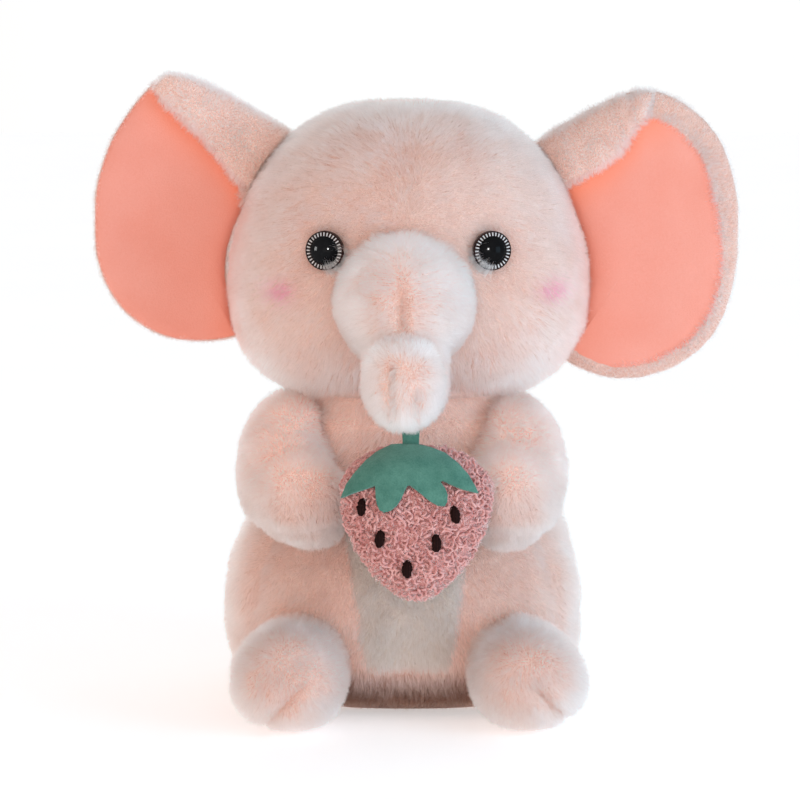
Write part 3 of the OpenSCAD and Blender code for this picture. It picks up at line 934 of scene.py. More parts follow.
# belly patch: its own panel, a little proud of the body
zs, xs = np.linspace(20, 92, 49), np.linspace(-1, 1, 33)
top, back_rows = [], []
for z in zs:
    half = float(patch_half(np.array([z]))[0])
    x = xs * half - 0.5
    a, b, y, e = (float(v[0]) for v in torso_at(np.array([z])))
    a, b = a - INSET, b - INSET
    yy = y - b * (1 - (np.abs(x) / a) ** e) ** (1 / e)
    edge = np.minimum(1 - np.abs(xs), min(z - 20, 92 - z) / 30)
    rise = 1.7 * np.clip(edge / 0.12, 0, 1) ** 0.5
    top.append(np.stack([x, yy - rise, np.full(33, z)], 1))
    back_rows.append(np.stack([x, yy + 1.2, np.full(33, z)], 1))
grid = np.concatenate(top + back_rows)
faces = []
R, C = len(zs), 33
for i in range(R - 1):
    for k in range(C - 1):
        a = i * C + k
        faces.append((a, a + 1, a + C + 1, a + C))
        a += R * C
        faces.append((a, a + C, a + C + 1, a + 1))
loop = list(range(C)) + [i * C + C - 1 for i in range(1, R)]
loop += [(R - 1) * C + k for k in range(C - 2, -1, -1)] + [i * C for i in range(R - 2, 0, -1)]
for a, b in zip(loop, loop[1:] + loop[:1]):
    faces.append((b, a, a + R * C, b + R * C))
patch = make("belly_patch_cover", grid, faces)
sub = patch.modifiers.new("fine", "SUBSURF")
sub.levels = sub.render_levels = 1
apply_modifiers(patch)
tuft(patch, 0.4, 2.4, 63)
finish_soft(patch, "torso", "belly_patch", slot="white_plush", material=white_backing)
# the patch's pile: its own pale colour, darkened as painted shade
grow(patch, "torso", 24000, PILE * 0.75, down, 0.8, (0.53, 0.41, 0.34), (0.66, 0.575, 0.53),
     where=lambda c, n: (n[:, 1] < -0.2) * 1.0, gather=0.3)

# ---------------------------------------------------------------- arms and feet


def press(obj, field, centre_y=0.0, margin=1.0):
    """Pushes obj's surface out of another form's, so the two lie against each other."""
    p = vertices_of(obj)
    f = field(p)
    deep = f < margin
    q = p.copy()
    scale = (margin / np.maximum(f, 0.2))[:, None]
    q[:, :2] = (p[:, :2] - [0, centre_y]) * scale + [0, centre_y]
    p[deep] = q[deep]
    set_vertices(obj, p)


def arm_flow(root, normal):
    way = np.zeros_like(root)
    way[:, 1] = -0.55
    way[:, 2] = -0.75
    return way


def limb_pale(root):
    pale = step(noise3(root, 9.0, 71), -0.7, 0.7)[:, None]
    return (TIP_PINK * 0.6 + TIP_WHITE * 0.4) * (1 - pale) + (TIP_PINK * 0.25 + TIP_WHITE * 0.75) * pale


# Painted shade where the arms meet the torso, the head and the feet.
def arm_crease_shade(root):
    feet = np.minimum(tube_distance(root, mirrored(FOOT, 1)), tube_distance(root, mirrored(FOOT, -1)))
    return np.maximum.reduce([by_torso(root, 5), 0.7 * by_head(root, 5), creased(feet, 6)])


# The upper arms, which the head shades, are painted paler as painted light; the creases get painted shade.
def arm_tint(root):
    c = warmed(plush_tint(root) * [0.98, 0.90, 0.88], 0.88 * sheltered(root), np.array([0.96, 0.71, 0.64]))
    return warmed(c, arm_crease_shade(root), WARM_ROOT * [1.1, 1.1, 1.1])


def arm_tip(root):
    c = warmed(limb_pale(root) * [0.98, 0.89, 0.87], 0.88 * sheltered(root), np.array([0.98, 0.78, 0.72]))
    return warmed(c, 0.8 * arm_crease_shade(root), WARM_TIP)


for s in (1, -1):
    name = SIDE[s]
    arm = tube(f"sleeve_{name}", [(x, y, z, r - INSET) for x, y, z, r in ARMS[s]], 90)
    paw, d = icosphere(f"paw_{name}", 5)
    set_vertices(paw, np.array([s * 37.5, -60, 86]) + d * (14.5 - INSET))
    arm = melt(join([arm, paw], f"arm_{name}"), 1.1, 4)
    p, n = vertices_of(arm), normals_of(arm)
    hem = np.exp(-(((p[:, 2] - 79.5) / 1.6) ** 2)) * step(-p[:, 1], 40, 52)
    lift = 0.9 * noise3(p, 18.0, 72 + s) - 1.8 * hem
    set_vertices(arm, p + n * lift[:, None])
    press(arm, torso_field, 2.0, 1.02)
    melt(arm, 1.1, 4)
    tuft(arm, 0.5, 2.6, 75 + s)
    # painted shade on the backing of the lower arms
    set_shade(arm, 0.17 * (1 - sheltered(vertices_of(arm))))
    finish_soft(arm, "arms", f"arm_{name}_outer", f"arm_{name}_inner", f"arm_{name}_filling")
    arm_pile = grow(arm, "arms", 42000, PILE, arm_flow, LEAN, arm_tint, arm_tip,
                    where=lambda c, m: (torso_field(c) > 1.05) * 1.0)
    below_head += [arm, arm_pile]


def foot_flow(root, normal):
    way = np.zeros_like(root)
    way[:, 1] = -0.4
    way[:, 2] = -0.5
    centre = np.tile([FOOT_X, -72.0, 22.0], (len(root), 1))
    centre[:, 0] *= np.sign(root[:, 0])
    return way + unit(root - centre) * 0.5


def foot_crease(q, side):
    """How close q is to the line where the foot's panels are pulled in, from 0 to 1."""
    x, z = q[:, 0] - side * FOOT_X, q[:, 2]
    if side < 0:
        line, reach = (x + 13.8) * 0.737 - z * 0.676, step(25 - z, 0, 5)
    else:
        line, reach = (x - 4.9) * 0.737 + (z - 18.1) * 0.676, step(x, 0, 4) * step(18 - x, 0, 4)
    return np.exp(-((line / 1.7) ** 2)) * reach * step(-q[:, 1], 72, 84)


# Painted shade against the torso and in the foot's crease, and a warmer patch low on the foot's face.
def foot_warm(q, side):
    face = 0.3 * bump(q, (side * (FOOT_X - 1), -96, 13), (13, 14, 11))
    return np.maximum.reduce([by_torso(q, 6), 0.9 * foot_crease(q, side), face])


for s in (1, -1):
    name = SIDE[s]
    foot = tube(f"foot_{name}", [(x, y, z, r - INSET) for x, y, z, r in mirrored(FOOT, s)], 96)
    p, n = vertices_of(foot), normals_of(foot)
    lift = 0.7 * noise3(p, 15.0, 80 + s) - 3.8 * foot_crease(p, s)
    p = p + n * lift[:, None]
    p[:, 0] = s * FOOT_X + (p[:, 0] - s * FOOT_X) * FOOT_WIDE
    p[:, 2] = np.where(p[:, 2] < 3, 0.3 + (p[:, 2] + 3) * 0.45, p[:, 2])
    p[:, 2] = np.maximum(p[:, 2], 0.3)
    set_vertices(foot, p)
    melt(foot, 1.1, 3)
    tuft(foot, 0.5, 2.6, 82 + s, keep=lambda q: step(q[:, 2], 2, 6))
    finish_soft(foot, f"foot_{name}", f"foot_{name}_upper", f"foot_{name}_sole", f"foot_{name}_filling")
    # the foot's pile takes its painted shade from foot_warm
    grow(foot, f"foot_{name}", 38000, PILE * 1.1, foot_flow, LEAN,
         lambda q, s=s: warmed(plush_tint(q), foot_warm(q, s), WARM_ROOT),
         lambda q, s=s: warmed((TIP_PINK + 3 * TIP_WHITE) / 4, 0.8 * foot_warm(q, s), WARM_TIP),
         where=lambda c, m: ((c[:, 1] < -50) & (c[:, 2] > 2)) * 1.0,
         shorten=lambda q, s=s: (0.4 + 0.6 * step(q[:, 2], 1, 9)) * (1 - 0.7 * foot_crease(q, s)))

# ---------------------------------------------------------------- ears

EARS = {
    -1: np.array([
        (48, 162, 230), (56, 153, 236), (64, 148, 242), (72, 145.5, 247), (80, 144, 251), (90, 144, 255.5),
        (100, 145.5, 256.5), (110, 150, 248), (117, 155.5, 238.5), (122, 161.5, 231), (126.5, 170, 220),
        (130, 182, 208),
    ], float),
    1: np.array([
        (54, 148, 230), (62, 138, 234.5), (71, 132.5, 239.5), (81, 129, 245), (92, 128, 250), (102, 130, 250),
        (111, 133.5, 246.5), (119, 138.5, 241), (126, 145.5, 234), (131, 154, 225.5), (134.5, 165, 214.5),
        (137, 181, 202),
    ], float),
}
EAR_MIDDLE = {-1: np.array([97.0, 198.0]), 1: np.array([98.0, 188.0])}
EAR_AROUND = 170


def ear_outline(side, inset):
    """Points round the ear as x and z, and the point they are scaled about."""
    table = EARS[side]
    loop = np.concatenate([table[:, [0, 2]], table[::-1, [0, 1]]])
    closed = np.concatenate([loop, loop[:1]])
    s = np.concatenate([[0], np.cumsum(np.linalg.norm(np.diff(closed, axis=0), axis=1))])
    t = np.linspace(0, s[-1], EAR_AROUND, endpoint=False)
    xz = np.stack([np.interp(t, s, closed[:, 0]), np.interp(t, s, closed[:, 1])], 1)
    for _ in range(12):
        xz = (np.roll(xz, 1, 0) + 2 * xz + np.roll(xz, -1, 0)) / 4
    middle = EAR_MIDDLE[side]
    away = unit(xz - middle)
    depth = inset(np.arctan2(away[:, 1], away[:, 0])) if callable(inset) else inset
    xz = xz - away * np.reshape(depth, (-1, 1))
    for _ in range(4):
        q = np.stack([xz[:, 0], np.full(len(xz), 12.0), xz[:, 1]], 1)
        xz[:, 0] = np.maximum(xz[:, 0], clear_of_head(q, 1.035)[:, 0])
    return xz, middle


def ear_place(side, x, y, z):
    table = EARS[side]
    part = np.clip((x - table[0, 0]) / (table[-1, 0] - table[0, 0]), 0, 1.05)
    return np.stack([side * x, 12 - 7.0 * part**2 + y, z], -1)


def ear_pad(name, side, inset, front, back, edge):
    """A stuffed flat form: front and back are how far its two faces stand out, edge how round its rim is."""
    xz, middle = ear_outline(side, inset)
    rows = []
    share = np.concatenate([np.linspace(0.03, 0.8, 24), np.linspace(0.8, 1, 16)[1:]])
    for k, r in enumerate(np.concatenate([share, share[::-1][1:]])):
        face = front if k < len(share) else back
        puff = (1 - r**edge) ** 0.5
        at = middle + (xz - middle) * r
        thick = 1 - 0.3 * np.clip((at[:, 0] - EARS[side][0, 0]) / 82, 0, 1)
        rows.append(ear_place(side, at[:, 0], face * puff * thick, at[:, 1]))
    if side > 0:
        rows = [r[::-1] for r in rows]
    return lathe(name, rows, EAR_AROUND)


velboa = cloth_material(
    "peach_velboa", (1500.0, 3.0, 0.7), (22.0, 2.0), 0.35,
    [(0.3, (0.85, 0.29, 0.21)), (0.7, (0.91, 0.385, 0.305))],
    0.9, 0.15, (0.45, 0.4, (1.0, 0.75, 0.68)), (0.35, 0.0005),
)
# the lining's shade attribute turns it deep orange, as painted shade
shaded(velboa, (0.96, 0.25, 0.13))
FOLDS = {
    # ridge and hem of the folded top, from its tip to the head: x, z and distance behind the ear's middle
    -1: (
        [(100, 254.5, -3), (91, 252.5, -2.5), (79, 247, -2.0), (64, 239.5, -1.5), (47, 229, -1.0)],
        [(103.5, 250.5, -5), (95, 242.5, -7), (83.5, 231.5, -8.5), (72, 217, -8.5), (60, 204.5, -7.5)],
    ),
    1: (
        [(100, 247.5, -3), (89, 246, -2.5), (77, 239, -2.0), (64, 232, -1.5), (49, 223, -1.0)],
        [(98, 240.5, -5), (92, 232, -7), (83.5, 223, -8.5), (72.5, 216, -8.5), (60, 211, -7.5)],
    ),
}


def ear_fold(name, side):
    """The top of the plush back, folded forward over the lining."""
    ridge, hem = (np.array(line, float) for line in FOLDS[side])
    rows = []
    t5 = np.linspace(0, 1, 5)
    ring = np.linspace(0, 2 * np.pi, 56, endpoint=False)
    c, s = np.cos(ring), np.sin(ring)
    for t in np.linspace(0, 1, 70):
        a = np.array([smooth(np.array([t]), t5, ridge[:, k])[0] for k in range(3)])
        b = np.array([smooth(np.array([t]), t5, hem[:, k])[0] for k in range(3)])
        mid, half = (a + b) / 2, (a - b) / 2
        across = np.linalg.norm(half)
        along = half / across
        out = np.array([0, 0, -1.0])
        out = out - along * (out @ along)
        out /= np.linalg.norm(out)
        full = (1 - max(1.05 - 2 * t, 0) ** 3.2 / 1.2) ** 0.5
        thick = 1.2 + (2.6 + 1.6 * t) * full
        plump = thick * (1 + 0.35 * c)
        q = mid + (across + 1.0) * (np.sign(c) * np.abs(c) ** 0.85)[:, None] * along
        q = q + (plump * s)[:, None] * out
        if side > 0:
            pinch = math.exp(-(((t - 0.2) / 0.05) ** 2)) + 0.6 * math.exp(-(((t - 0.34) / 0.04) ** 2))
            q = mid + (q - mid) * (1 - 0.28 * pinch)
        rows.append(clear_of_head(ear_place(side, q[:, 0], q[:, 2], q[:, 1]), 1.035))
    if side < 0:
        rows = [r[::-1] for r in rows]
    return lathe(name, rows, 56)


def ear_flow(side):
    def flow(root, normal):
        away = unit(root - np.array([side * 66.0, 10, 195.0]))
        inward = step(-normal[:, 1], 0.2, 0.8)[:, None] * step(1 - folded(root, side), 0.3, 0.9)[:, None]
        return (away * 0.5 + np.array([0, 0, -0.5])) * (1 - inward) - away * 1.5 * inward
    return flow


def folded(q, side):
    """1 over the folded top, 0 below its hem."""
    hem = np.array(FOLDS[side][1], float)[::-1]
    return step(q[:, 2] - smooth(np.abs(q[:, 0]), hem[:, 0], hem[:, 1]), -2, 2)


def ear_rim(q, side):
    """How far q lies in from the ear's outline, in mm."""
    table = EARS[side]
    x = np.abs(q[:, 0])
    ends = table[-1, 0] - x
    up = smooth(x, table[:, 0], table[:, 2]) - q[:, 2]
    low = q[:, 2] - smooth(x, table[:, 0], table[:, 1])
    return np.minimum(np.minimum(up, low), ends)


def ear_short(side):
    def short(root):
        rim = 0.38 + 0.62 * step(ear_rim(root, side), 0, 14)
        return np.where(folded(root, side) > 0.5, np.maximum(rim, 0.62), rim)
    return short


def ear_tuck_shade(root):
    """Where the folded top is pinched in, by the tip of the elephant's left ear; shade is painted into the pile
    there.
    """
    return bump(root, (90.5, 4, 238), (2.2, 12, 4)) + bump(root, (104, 4, 240.5), (1.6, 12, 4))


# Painted shade in the tucks and where the ear meets the head.
def ear_tint(root):
    fold = 0.8 * np.where(root[:, 0] > 0, folded(root, 1), folded(root, -1))
    c = warmed(plush_tint(root), fold, np.array([0.95, 0.80, 0.77]))
    return warmed(c, np.maximum(0.9 * ear_tuck_shade(root), by_head(root, 7)), WARM_ROOT)


def ear_tip(root):
    c = limb_pale(root) * 0.3 + np.array([0.94, 0.86, 0.84]) * 0.7
    return warmed(c, 0.8 * np.maximum(ear_tuck_shade(root), by_head(root, 7)), WARM_TIP)


def lining_inset(side):
    if side < 0:
        return 1.0
    return lambda phi: 4.4 + 5.0 * np.maximum(np.cos(phi - math.radians(60)), 0) ** 2


def lining_margin(side):
    """A function that says how far points lie inside the lining's rim, seen from the front."""
    edge, middle = ear_outline(side, lining_inset(side))
    phi = np.arctan2(edge[:, 1] - middle[1], edge[:, 0] - middle[0])
    order = np.argsort(phi)
    radius = np.linalg.norm(edge - middle, axis=1)

    def margin(c):
        q = np.stack([np.abs(c[:, 0]), c[:, 2]], 1) - middle
        limit = np.interp(np.arctan2(q[:, 1], q[:, 0]), phi[order], radius[order], period=2 * np.pi)
        return limit - np.linalg.norm(q, axis=1)

    return margin


for s in (1, -1):
    name = SIDE[s]
    shell = ear_pad(f"shell_{name}", s, 0.8, -3.3, 4.6, 7)
    tuft(shell, 0.35, 2.6, 90 + s)
    fold = ear_fold(f"fold_{name}", s)
    tuft(fold, 0.4, 2.6, 92 + s)
    cover = join([shell, fold], f"ear_{name}_cover")
    finish_soft(cover, f"ear_{name}", f"ear_{name}_back", f"ear_{name}_padding", fill=0.3)
    lining = ear_pad(f"ear_{name}_lining", s, lining_inset(s), -4.6, 0.4, 9)
    p, n = vertices_of(lining), normals_of(lining)
    set_vertices(lining, p + n * (0.35 * noise3(p, 16.0, 95 + s))[:, None])
    # painted shade on the lining: deep orange below the folded hem and next to the head
    hem = np.array(FOLDS[s][1], float)[::-1]
    below_hem = smooth(np.abs(p[:, 0]), hem[:, 0], hem[:, 1]) - p[:, 2]
    shade = 0.75 * creased(below_hem, 13) * step(118 - np.abs(p[:, 0]), 0, 22) + 0.3 * by_head(p, 9)
    set_shade(lining, np.clip(shade, 0, 0.85))
    finish_soft(lining, f"ear_{name}", f"ear_{name}_inner", slot="peach_velboa", material=velboa, fill=0.3)

    margin = lining_margin(s)

    def cover_where(c, m, s=s, margin=margin):
        part = np.clip((np.abs(c[:, 0]) - EARS[s][0, 0]) / (EARS[s][-1, 0] - EARS[s][0, 0]), 0, 1.05)
        front = (m[:, 1] < 0) & (np.abs(c[:, 1] - (12 - 7.0 * part**2) + 2.6) < 1.6)
        return np.where(front & (margin(c) > 0.3), 0.0, 1.0) * step(head_value(c), 1.0, 1.02)

    cover_pile = grow(cover, f"ear_{name}", 85000, 3.6, ear_flow(s), 0.5, ear_tint, ear_tip, where=cover_where,
                      clump=1.1, shorten=ear_short(s))
    if s < 0:
        crowned += [cover, cover_pile]
    else:
        def border(c, m, margin=margin, middle=EAR_MIDDLE[s][0]):
            rim = step(5.0 - margin(c), 0, 5) ** 2
            return (m[:, 1] < 0) * rim * step(np.abs(c[:, 0]) - middle, -14, 4)

        grow(lining, f"ear_{name}", 9000, 2.4, ear_flow(s), 0.6, ear_tint, ear_tip, where=border, gather=0.2)

# ---------------------------------------------------------------- tail and neck

TAIL = [(0, 64.5, 34, 4.5), (0, 70, 29, 4.3), (0, 73, 20, 5.5)]
tail = tube("tail_cover", [(x, y, z, r - 0.8) for x, y, z, r in TAIL], 48, 2.0)
finish_soft(tail, "tail", "tail")
grow(tail, "tail", 2500, 5.0, down, 0.9, plush_tint, limb_pale)

BAND_AROUND = 180
BAND = [  # radius about the neck's centre and height, round the band's section
    (44.3, 127), (45.1, 127), (45.3, 130), (44.9, 134), (44.0, 138), (42.6, 142),
    (40.6, 146), (40.0, 146), (42.1, 142), (43.5, 138), (44.2, 134), (44.4, 130),
]
t = np.linspace(0, 2 * np.pi, BAND_AROUND, endpoint=False)
rows = []
for r, z in BAND:
    flat = math.sqrt(max(r * r - (z - NECK[2]) ** 2, 1))
    rows.append(np.stack([flat * np.cos(t), NECK[1] + flat * np.sin(t), np.full(BAND_AROUND, float(z))], 1))
faces = []
for i in range(len(BAND)):
    a, b = i * BAND_AROUND, (i + 1) % len(BAND) * BAND_AROUND
    for k in range(BAND_AROUND):
        after = (k + 1) % BAND_AROUND
        faces.append((a + k, a + after, b + after, b + k))
band = make("neck_gather", np.concatenate(rows), faces)
finish_soft(band, "neck", "neck_band", fill=0.3)

# ---------------------------------------------------------------- strawberry

BERRY = np.array([3.0, -83.0])
BERRY_LOW, BERRY_HIGH = 55.0, 114.5
BERRY_W, BERRY_D = 29.5, 15.5
BERRY_SHAPE = np.array([
    # share of the height, of the half width and of the half depth
    (0, 0.10, 0.16), (0.07, 0.34, 0.46), (0.2, 0.60, 0.74), (0.38, 0.84, 0.94), (0.56, 0.97, 1),
    (0.72, 1, 0.98),
    (0.85, 0.88, 0.84), (0.94, 0.62, 0.62), (1, 0.26, 0.32),
])


def berry_at(z, inset):
    s = np.clip((z - BERRY_LOW) / (BERRY_HIGH - BERRY_LOW), 0, 1)
    a = smooth(s, BERRY_SHAPE[:, 0], BERRY_SHAPE[:, 1]) * BERRY_W - inset
    b = smooth(s, BERRY_SHAPE[:, 0], BERRY_SHAPE[:, 2]) * BERRY_D - inset
    return np.maximum(a, 0.4), np.maximum(b, 0.4)


def berry_front(x, z, inset):
    a, b = berry_at(z, inset)
    share = np.clip(np.abs(x - BERRY[0]) / a, 0, 0.995)
    return BERRY[1] - b * (1 - share**2.2) ** (1 / 2.2)


rows = []
t = np.linspace(0, 2 * np.pi, 120, endpoint=False)
for z in np.linspace(BERRY_LOW + 1.5, BERRY_HIGH - 1.5, 64):
    a, b = (float(v[0]) for v in berry_at(np.array([z]), 1.6))
    c, s = np.cos(t), np.sin(t)
    rows.append(np.stack([
        BERRY[0] + a * np.sign(c) * np.abs(c) ** (2 / 2.2),
        BERRY[1] + b * np.sign(s) * np.abs(s) ** (2 / 2.2),
        np.full(120, z),
    ], 1))
berry = lathe("strawberry", rows, 120)


boucle = cloth_material(
    "rose_boucle", (1300.0, 3.0, 0.6), (230.0, 2.0), 0.3,
    [(0.3, (0.54, 0.17, 0.15)), (0.7, (0.84, 0.46, 0.42))],
    0.85, 0.5, (0.5, 0.5, (1, 0.8, 0.8)), (0.5, 0.0004),
)
SEEDS = [(-18, 93), (18, 90.4), (-11.1, 80.8), (10.7, 79.4), (-0.5, 68.7)]


def curls(count):
    """Small loops of yarn standing all over the strawberry."""
    p, n = vertices_of(berry), normals_of(berry)
    polys = np.array([f.vertices[:3] for f in berry.data.polygons])
    a, b, c = p[polys[:, 0]], p[polys[:, 1]], p[polys[:, 2]]
    area = np.linalg.norm(np.cross(b - a, c - a), axis=1)
    pick = rng.choice(len(polys), size=count * 4, p=area / area.sum())
    root = p[polys[pick, 0]] + (p[polys[pick, 1]] - p[polys[pick, 0]]) * rng.random((len(pick), 1))
    normal = n[polys[pick, 0]]
    kept, cells = [], {}
    for i, q in enumerate(root):
        key = tuple((q // 1.8).astype(int))
        near = False
        for dx in (-1, 0, 1):
            for dy in (-1, 0, 1):
                for dz in (-1, 0, 1):
                    for j in cells.get((key[0] + dx, key[1] + dy, key[2] + dz), ()):
                        if ((root[j] - q) ** 2).sum() < 1.6**2:
                            near = True
        if near:
            continue
        if q[1] < BERRY[1] and any(((q[0] - x) / 2.6) ** 2 + ((q[2] - z) / 4.0) ** 2 < 1 for x, z in SEEDS):
            continue
        cells.setdefault(key, []).append(i)
        kept.append(i)
        if len(kept) >= count:
            break
    points, faces = [], []
    turns, sides = 11, 5
    for i in kept:
        q, m = root[i], normal[i]
        u = unit(np.cross(m, rng.normal(size=3)))
        v = np.cross(m, u)
        big = rng.uniform(0.95, 1.5)
        wide = rng.uniform(0.42, 0.58)
        sweep = rng.uniform(1.5, 2.2) * np.pi
        t = np.linspace(0, sweep, turns) + rng.uniform(0, 6.28)
        tilt = rng.uniform(0.25, 0.9)
        lean = rng.uniform(0, 6.28)
        w = math.cos(lean) * u + math.sin(lean) * v
        e2 = unit(np.cross(m, w)) * tilt + m * math.sqrt(1 - tilt * tilt)
        line = q + m * (0.15 + 0.55 * big * rng.uniform(0.7, 1))
        line = line + big * (np.cos(t)[:, None] * w + np.sin(t)[:, None] * e2)
        line += np.linspace(-0.4, 0.4, turns)[:, None] * np.cross(w, e2)
        tangent = unit(np.gradient(line, axis=0))
        side = unit(np.cross(tangent, np.cross(w, e2)))
        up = np.cross(tangent, side)
        start = len(points)
        ring = np.linspace(0, 2 * np.pi, sides, endpoint=False)
        for k in range(turns):
            r = wide * (0.6 if k in (0, turns - 1) else 1.0)
            for f in ring:
                points.append(line[k] + r * (math.cos(f) * side[k] + math.sin(f) * up[k]))
        for k in range(turns - 1):
            for f in range(sides):
                a = start + k * sides + f
                b = start + k * sides + (f + 1) % sides
                faces.append((a, b, b + sides, a + sides))
        faces.append(tuple(start + f for f in range(sides))[::-1])
        faces.append(tuple(start + (turns - 1) * sides + f for f in range(sides)))
    return make("strawberry_loops", np.array(points), faces)


tuft(berry, 1.1, 4.4, 100)
loops = curls(3000)
tuft(berry, 0.5, 2.0, 102)
finish_soft(berry, "strawberry", "strawberry_front", "strawberry_back", "strawberry_filling",
            slot="rose_boucle", material=boucle)
loops.data.materials.append(boucle)
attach(loops, "strawberry")


def yarn(count):
    """Fine stray curls of the looped yarn."""
    p, n = vertices_of(berry), normals_of(berry)
    pick = rng.integers(0, len(p), count)
    keys = 9
    m = n[pick]
    root = p[pick] + rng.normal(size=(count, 3)) * 0.5 + m * rng.uniform(0.2, 1.2, (count, 1))
    clear = np.ones(count, bool)
    for x, z in SEEDS:
        clear &= (((root[:, 0] - x) / 2.3) ** 2 + ((root[:, 2] - z) / 3.6) ** 2 > 1) | (root[:, 1] > BERRY[1])
    root, m = root[clear], m[clear]
    count = len(root)
    u = unit(np.cross(m, rng.normal(size=(count, 3))))
    v = unit(m * rng.uniform(0.4, 1, (count, 1)) + np.cross(m, u) * rng.uniform(-0.8, 0.8, (count, 1)))
    big = rng.uniform(0.35, 0.9, (count, 1, 1))
    t = np.linspace(0, 1, keys)[None, :, None] * rng.uniform(1.2, 2.6, (count, 1, 1)) * np.pi
    t = t + rng.uniform(0, 6.28, (count, 1, 1))
    line = root[:, None] + big * (np.cos(t) * u[:, None] + np.sin(t) * v[:, None])
    line = line + np.linspace(-0.5, 0.5, keys)[None, :, None] * np.cross(u, v)[:, None]
    # the curls turn paler towards their ends: painted highlights on the yarn
    colours = [
        np.clip(np.array(rgb) * (1 + rng.normal(size=(count, 1)) * 0.08), 0.01, 0.97)
        for rgb in ((0.74, 0.32, 0.29), (0.92, 0.63, 0.59))
    ]
    strands("strawberry_yarn", "strawberry", line, np.full(count * keys, 0.12), colours)


yarn(9000)


felt = cloth_material(
    "green_felt", (1600.0, 5.0, 0.75), (160.0, 3.0), 0.5,
    [(0.32, (0.035, 0.135, 0.10)), (0.66, (0.12, 0.29, 0.22))],
    0.95, 0.15, (0.35, 0.5, (0.8, 1.0, 0.92)), (0.7, 0.0006),
)
LEAF = [
    (-25.8, 96.3), (-21.8, 98.4), (-17.7, 100), (-12.7, 101.9), (-12.6, 98.6), (-12.2, 95.3), (-11.1, 92.8),
    (-9.2, 91.9), (-7.0, 92.5), (-4.6, 94.6), (-2.7, 97.5), (-1.6, 100), (-0.4, 102.2), (0.6, 102.2),
    (4.1, 99.6), (8.1, 96.3), (11.4, 94.5), (13.8, 94.3), (14.8, 95.9), (15, 98.4), (14.2, 100.8),
    (12.2, 103.5), (13.2, 103.8), (17, 102), (21.1, 100.3), (26.7, 98.6), (25.5, 101.2), (22.7, 105.7),
    (18.7, 109.8), (13.8, 113.1), (8.9, 115), (4.9, 115.9),
    (-3, 116.1), (-6.4, 115.8), (-11.3, 113.5), (-16.2, 110.2), (-20.3, 106.1), (-23.6, 101.6),
]


LEAF_BEND = 112.5  # height where the felt leaves the berry and turns up to the stem


def leaf_piece():
    outline = np.array(LEAF, float)
    closed = np.concatenate([outline, outline[:1]])
    pts = []
    for a, b in zip(closed[:-1], closed[1:]):
        k = max(1, int(np.linalg.norm(b - a) / 1.0))
        for i in range(k):
            pts.append(a + (b - a) * i / k)
    pts = np.array(pts)
    bm = bmesh.new()
    ring = [bm.verts.new((x, 0, z)) for x, z in pts]
    bm.faces.new(ring)
    for k, (axis, low, high) in enumerate([((1, 0, 0), -30, 31), ((0, 0, 1), 88, 118)]):
        for c in np.arange(low, high, 1.3):
            geom = bm.verts[:] + bm.edges[:] + bm.faces[:]
            co = (c, 0, 0) if k == 0 else (0, 0, c)
            bmesh.ops.bisect_plane(bm, geom=geom, plane_co=co, plane_no=axis)
    bmesh.ops.remove_doubles(bm, verts=bm.verts[:], dist=0.05)
    bmesh.ops.recalc_face_normals(bm, faces=bm.faces[:])
    obj = from_bmesh("strawberry_calyx", bm)
    p = raw_vertices(obj)
    x, z = p[:, 0], p[:, 2]
    y = berry_front(x * 0.93 + BERRY[0] * 0.07, np.minimum(z, LEAF_BEND), -1.6)
    y = y + np.clip(z - LEAF_BEND, 0, 5) * 1.4
    p[:, 1] = y - 0.9 * step(100 - z, 0, 9) - 0.5 * noise3(p, 9.0, 110)
    set_vertices(obj, p)
    solid = obj.modifiers.new("thick", "SOLIDIFY")
    solid.thickness = 1.9 * MM
    solid.offset = 0
    bev = obj.modifiers.new("edge", "BEVEL")
    bev.width = 0.35 * MM
    bev.segments = 2
    bev.limit_method = "ANGLE"
    bev.angle_limit = math.radians(50)
    apply_modifiers(obj)
    return obj


leaf = leaf_piece()
STEM = [(111, 3.6, -85.5), (114, 3.4, -85.2), (117, 3.2, -84.6), (119.5, 3.3, -84.1), (121.3, 3.5, -83.8)]
stem_rows = []
for z, w, y in STEM:
    corner = np.array([
        (-w, -0.95), (-w + 0.3, -1.1), (w - 0.3, -1.1), (w, -0.95), (w, 0.95), (w - 0.3, 1.1), (-w + 0.3, 1.1),
        (-w, 0.95),
    ])
    stem_rows.append(np.stack([BERRY[0] - 2.1 + corner[:, 0], y + corner[:, 1], np.full(8, float(z))], 1))
stem = lathe("stem", stem_rows, 8)
calyx = join([leaf, stem], "strawberry_calyx")
finish_soft(calyx, "strawberry", "strawberry_leaf", slot="green_felt", material=felt, fill=None)


def thread_material():
    m, nt, bsdf = new_material("brown_thread")
    c = node(nt, "ShaderNodeTexCoord")
    wave = node(nt, "ShaderNodeTexWave")
    wave.inputs["Scale"].default_value = 520.0
    wave.inputs["Distortion"].default_value = 1.5
    nt.links.new(c.outputs["Object"], wave.inputs["Vector"])
    colour = ramp_node(nt, wave.outputs["Fac"], [(0.1, (0.006, 0.002, 0.002)), (0.9, (0.028, 0.008, 0.006))])
    nt.links.new(colour.outputs["Color"], bsdf.inputs["Base Color"])
    bsdf.inputs["Roughness"].default_value = 0.8
    bsdf.inputs["Specular IOR Level"].default_value = 0.08
    bump_node(nt, wave.outputs["Fac"], 0.6, 0.0003, bsdf)
    return m


